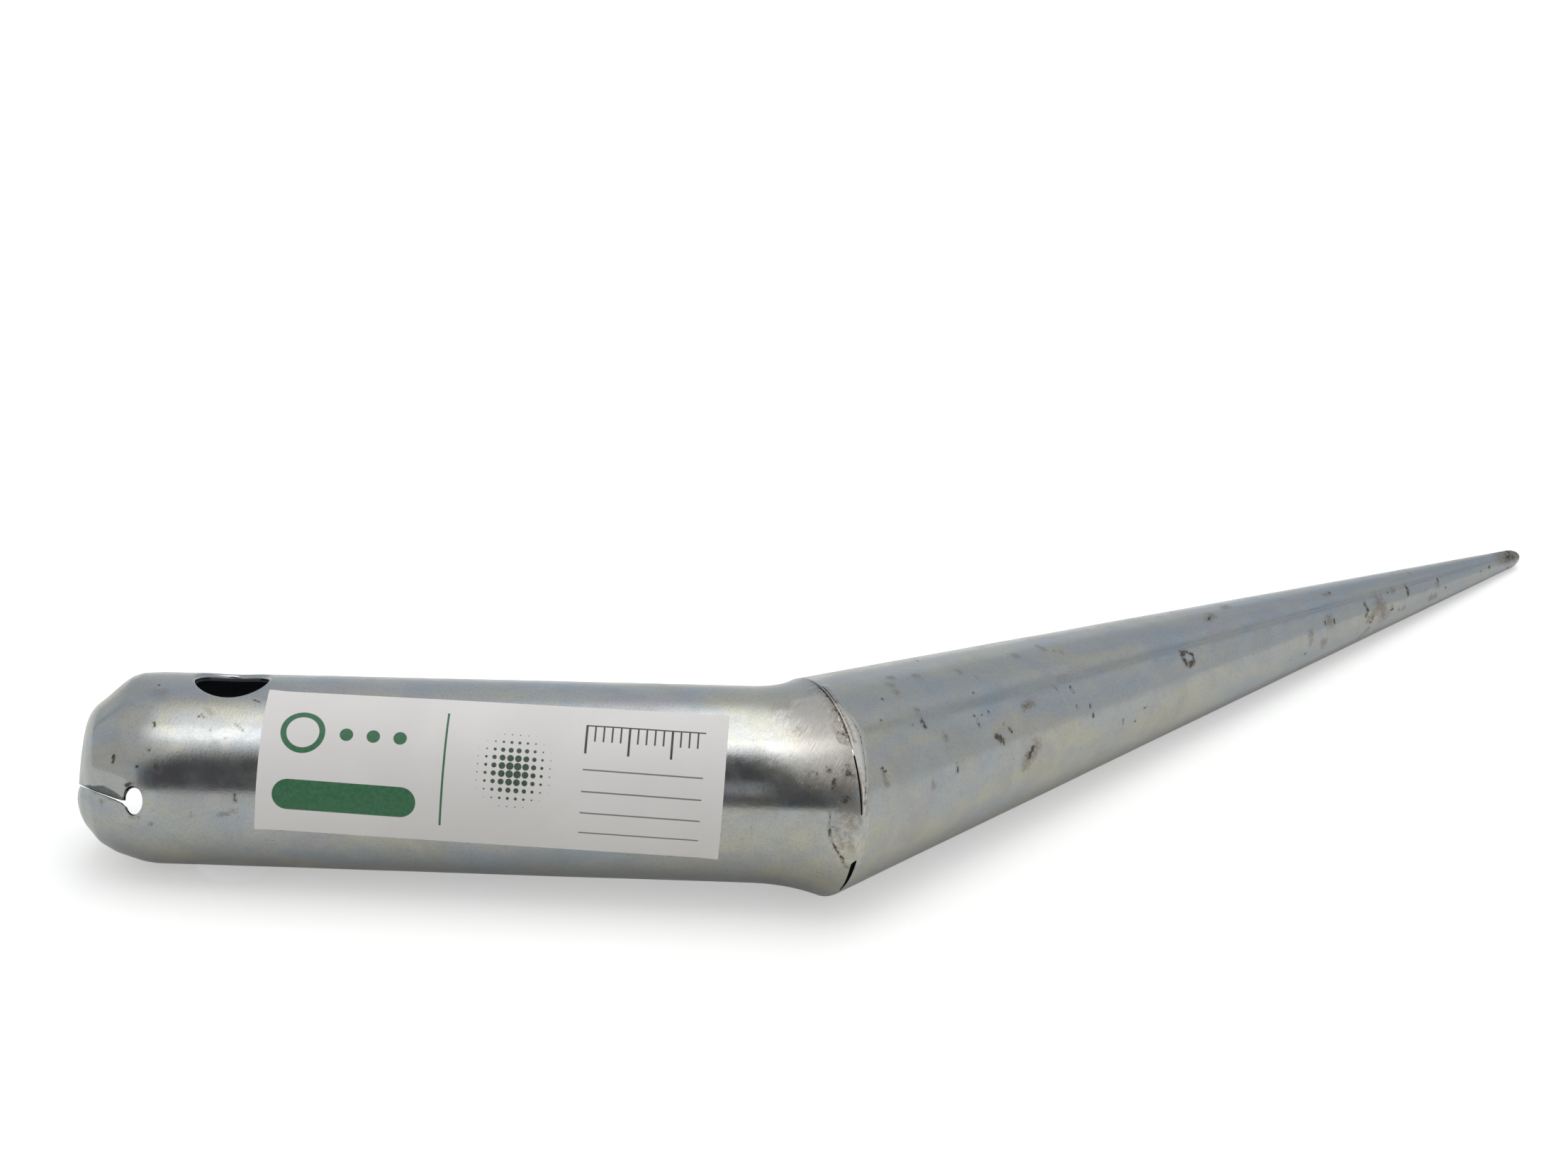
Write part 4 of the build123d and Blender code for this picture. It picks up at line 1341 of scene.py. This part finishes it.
def strokes_field(along, angle, strokes, radius_at, spread=1.0):
    """The strongest of several strokes on a round body."""
    field = np.zeros_like(along)
    for stroke in strokes:
        scale = radius_at(stroke[1])
        field = np.maximum(field, stroke_field(along, angle * scale, scale, stroke, spread))
    return field


def ring_field(along, angle):
    """Soft mask of the small ring on the handle."""
    away = np.hypot(along - RING_PLACE[0], (angle - radians(RING_PLACE[1])) * HANDLE_REAR_RADIUS)
    return np.exp(-((away - RING_RADIUS) / RING_WIDTH) ** 2)


def tool_places(mesh):
    """All vertices of a mesh in the tool's frame, in millimetres."""
    flat = np.empty(len(mesh.vertices) * 3)
    mesh.vertices.foreach_get("co", flat)
    axes = np.array(TOOL_AXES)
    return (flat.reshape(-1, 3) - np.array(ELBOW)) @ axes / MM


# Colour channels hold the dark marks (with the painted shade along the spike's ground strip), brown and
# ground; alpha holds the painted inside shade
def set_wear_and_shade(mesh, dark, brown, ground, painted_inside_shade):
    colours = np.stack((dark, brown, ground, painted_inside_shade), axis=1).astype(np.float32)
    layer = mesh.attributes.new("wear_and_shade", "FLOAT_COLOR", "POINT")
    layer.data.foreach_set("color", colours.ravel())


def elbow_place(places):
    """Distance from the joint along the tool and angle round it, in degrees."""
    side = places @ np.array(MITRE_NORMAL)
    turn = np.degrees(np.arctan2(places[:, 2], places @ np.array(MITRE_OUTSIDE)))
    return side, turn


def strip_width(turn):
    """Width of the ground strip on the spike's edge, a slim lens beside the open joint."""
    return np.interp(turn, (2, 5, 25, 46, 58, 70), (0, 0.4, 1.9, 2.8, 2.0, 0))


def ground_field(places):
    """How far the grinder reached on each side of the near half of the elbow."""
    side, turn = elbow_place(places)
    width = strip_width(turn)
    on_handle = rising(turn, 6, 28) * rising(turn, 88, 72) * rising(side, -19, -5) * (side < 0.25)
    on_spike = np.clip(1.9 - side / np.maximum(width, 0.1), 0, 1.6) * (side >= 0.25) * (width > 0)
    smear = 0.55 * rising(turn, -26, -20) * rising(turn, 12, 4) * rising(side, -6, -4) * (side < 2)
    return on_handle + on_spike + smear


def crack_field(places, width):
    """The joint's line over the top weld, where dirt has settled."""
    side, turn = elbow_place(places)
    return np.exp(-((side - 0.05) / width) ** 2) * rising(turn, 34, 42) * rising(turn, 96, 82)


def strip_edge_painted_shade(places):
    """Painted shade: a dark line where that strip ends, standing in for the shading along its edge."""
    side, turn = elbow_place(places)
    width = strip_width(turn)
    return 0.75 * np.exp(-((side - width) / 0.22) ** 2) * rising(width, 0.3, 0.7)


def paint_handle(piece):
    """Wear of the handle and of the weld runs, with painted shade on the handle's inside faces."""
    places = tool_places(piece.data)
    along = places[:, 0] + HANDLE_LENGTH
    angle = np.arctan2(places[:, 2], -places[:, 1])

    def marks(strokes):
        return strokes_field(along, angle, strokes, lambda place: HANDLE_REAR_RADIUS)

    dark = np.maximum.reduce([
        marks(HANDLE_DARK), SCORCH_STRENGTH * marks(ELBOW_DARK), CRUST_STRENGTH * marks(ELBOW_CRUST),
        CRACK_STRENGTH * crack_field(places, 0.75), RING_STRENGTH * ring_field(along, angle)])
    brown = np.maximum(HANDLE_STAIN * marks(HANDLE_BROWN + ELBOW_BROWN), crack_field(places, 1.6))
    # Painted shade: faces deeper in than most of the wall are marked to be coloured dark
    depth = handle_radius(along) - np.hypot(places[:, 1], places[:, 2])
    painted_inside_shade = (depth > 0.7 * WALL) & (along > CLOSURE_LENGTH)
    set_wear_and_shade(piece.data, dark, brown, ground_field(places), painted_inside_shade)


def paint_spike(piece):
    """Wear of the spike and of its point, whose upper half is tinted by heat, with painted shade along the
    ground strip's edge and on the inside faces.
    """
    places = tool_places(piece.data)
    along = places @ np.array(ALONG_SPIKE)
    out = places @ np.array(SPIKE_OUTSIDE)
    angle = np.arctan2(places[:, 2], out)
    side, turn = elbow_place(places)
    strip = rising(side, 2.86, 0.66) * (strip_width(turn) > 0.3) * np.where(angle < radians(30), 0.6, 0.35)
    tip = rising(along, NOSE_START, NOSE_START + 9) * np.maximum(rising(np.degrees(angle), -15, 20), 0.15)
    marks = strokes_field(along, angle, SPIKE_DARK, spike_radius)
    stains = strokes_field(along, angle, SPIKE_BROWN, spike_radius, BROWN_SPREAD)
    # Painted shade: the dark line along the ground strip's edge goes in with the dark marks
    dark = np.maximum.reduce([marks, strip_edge_painted_shade(places), 0.72 * rising(tip, 0.5, 1.0)])
    brown = np.maximum.reduce([stains, strip, 1.5 * tip])
    # Painted shade: faces deeper in than most of the wall are marked to be coloured dark
    depth = spike_radius(along) - np.hypot(places[:, 2], out)
    set_wear_and_shade(piece.data, dark, brown, ground_field(places), depth > 0.7 * WALL)


scene.view_settings.view_transform = "Standard"
make_camera()
make_world()
make_floor()
add_softbox("softbox", place=(0.0, -0.46, 1.0), target=(0.0, -0.05, 0.0), width=1.0, depth=0.30, power=0.7)

handle_zinc = zinc_material("zinc_handle", ALONG_HANDLE, HANDLE_OUTSIDE, HANDLE_FRONT_RADIUS, HANDLE_WARMTH)
spike_zinc = zinc_material("zinc_spike", ALONG_SPIKE, SPIKE_OUTSIDE, JOINT_RADIUS, SPIKE_WARMTH)
paint_handle(make_handle(handle_zinc))
paint_spike(make_spike(spike_zinc))
paint_spike(make_nose(spike_zinc))
for weld in make_welds(handle_zinc, bead_material()):
    paint_handle(weld)
make_label(label_material())
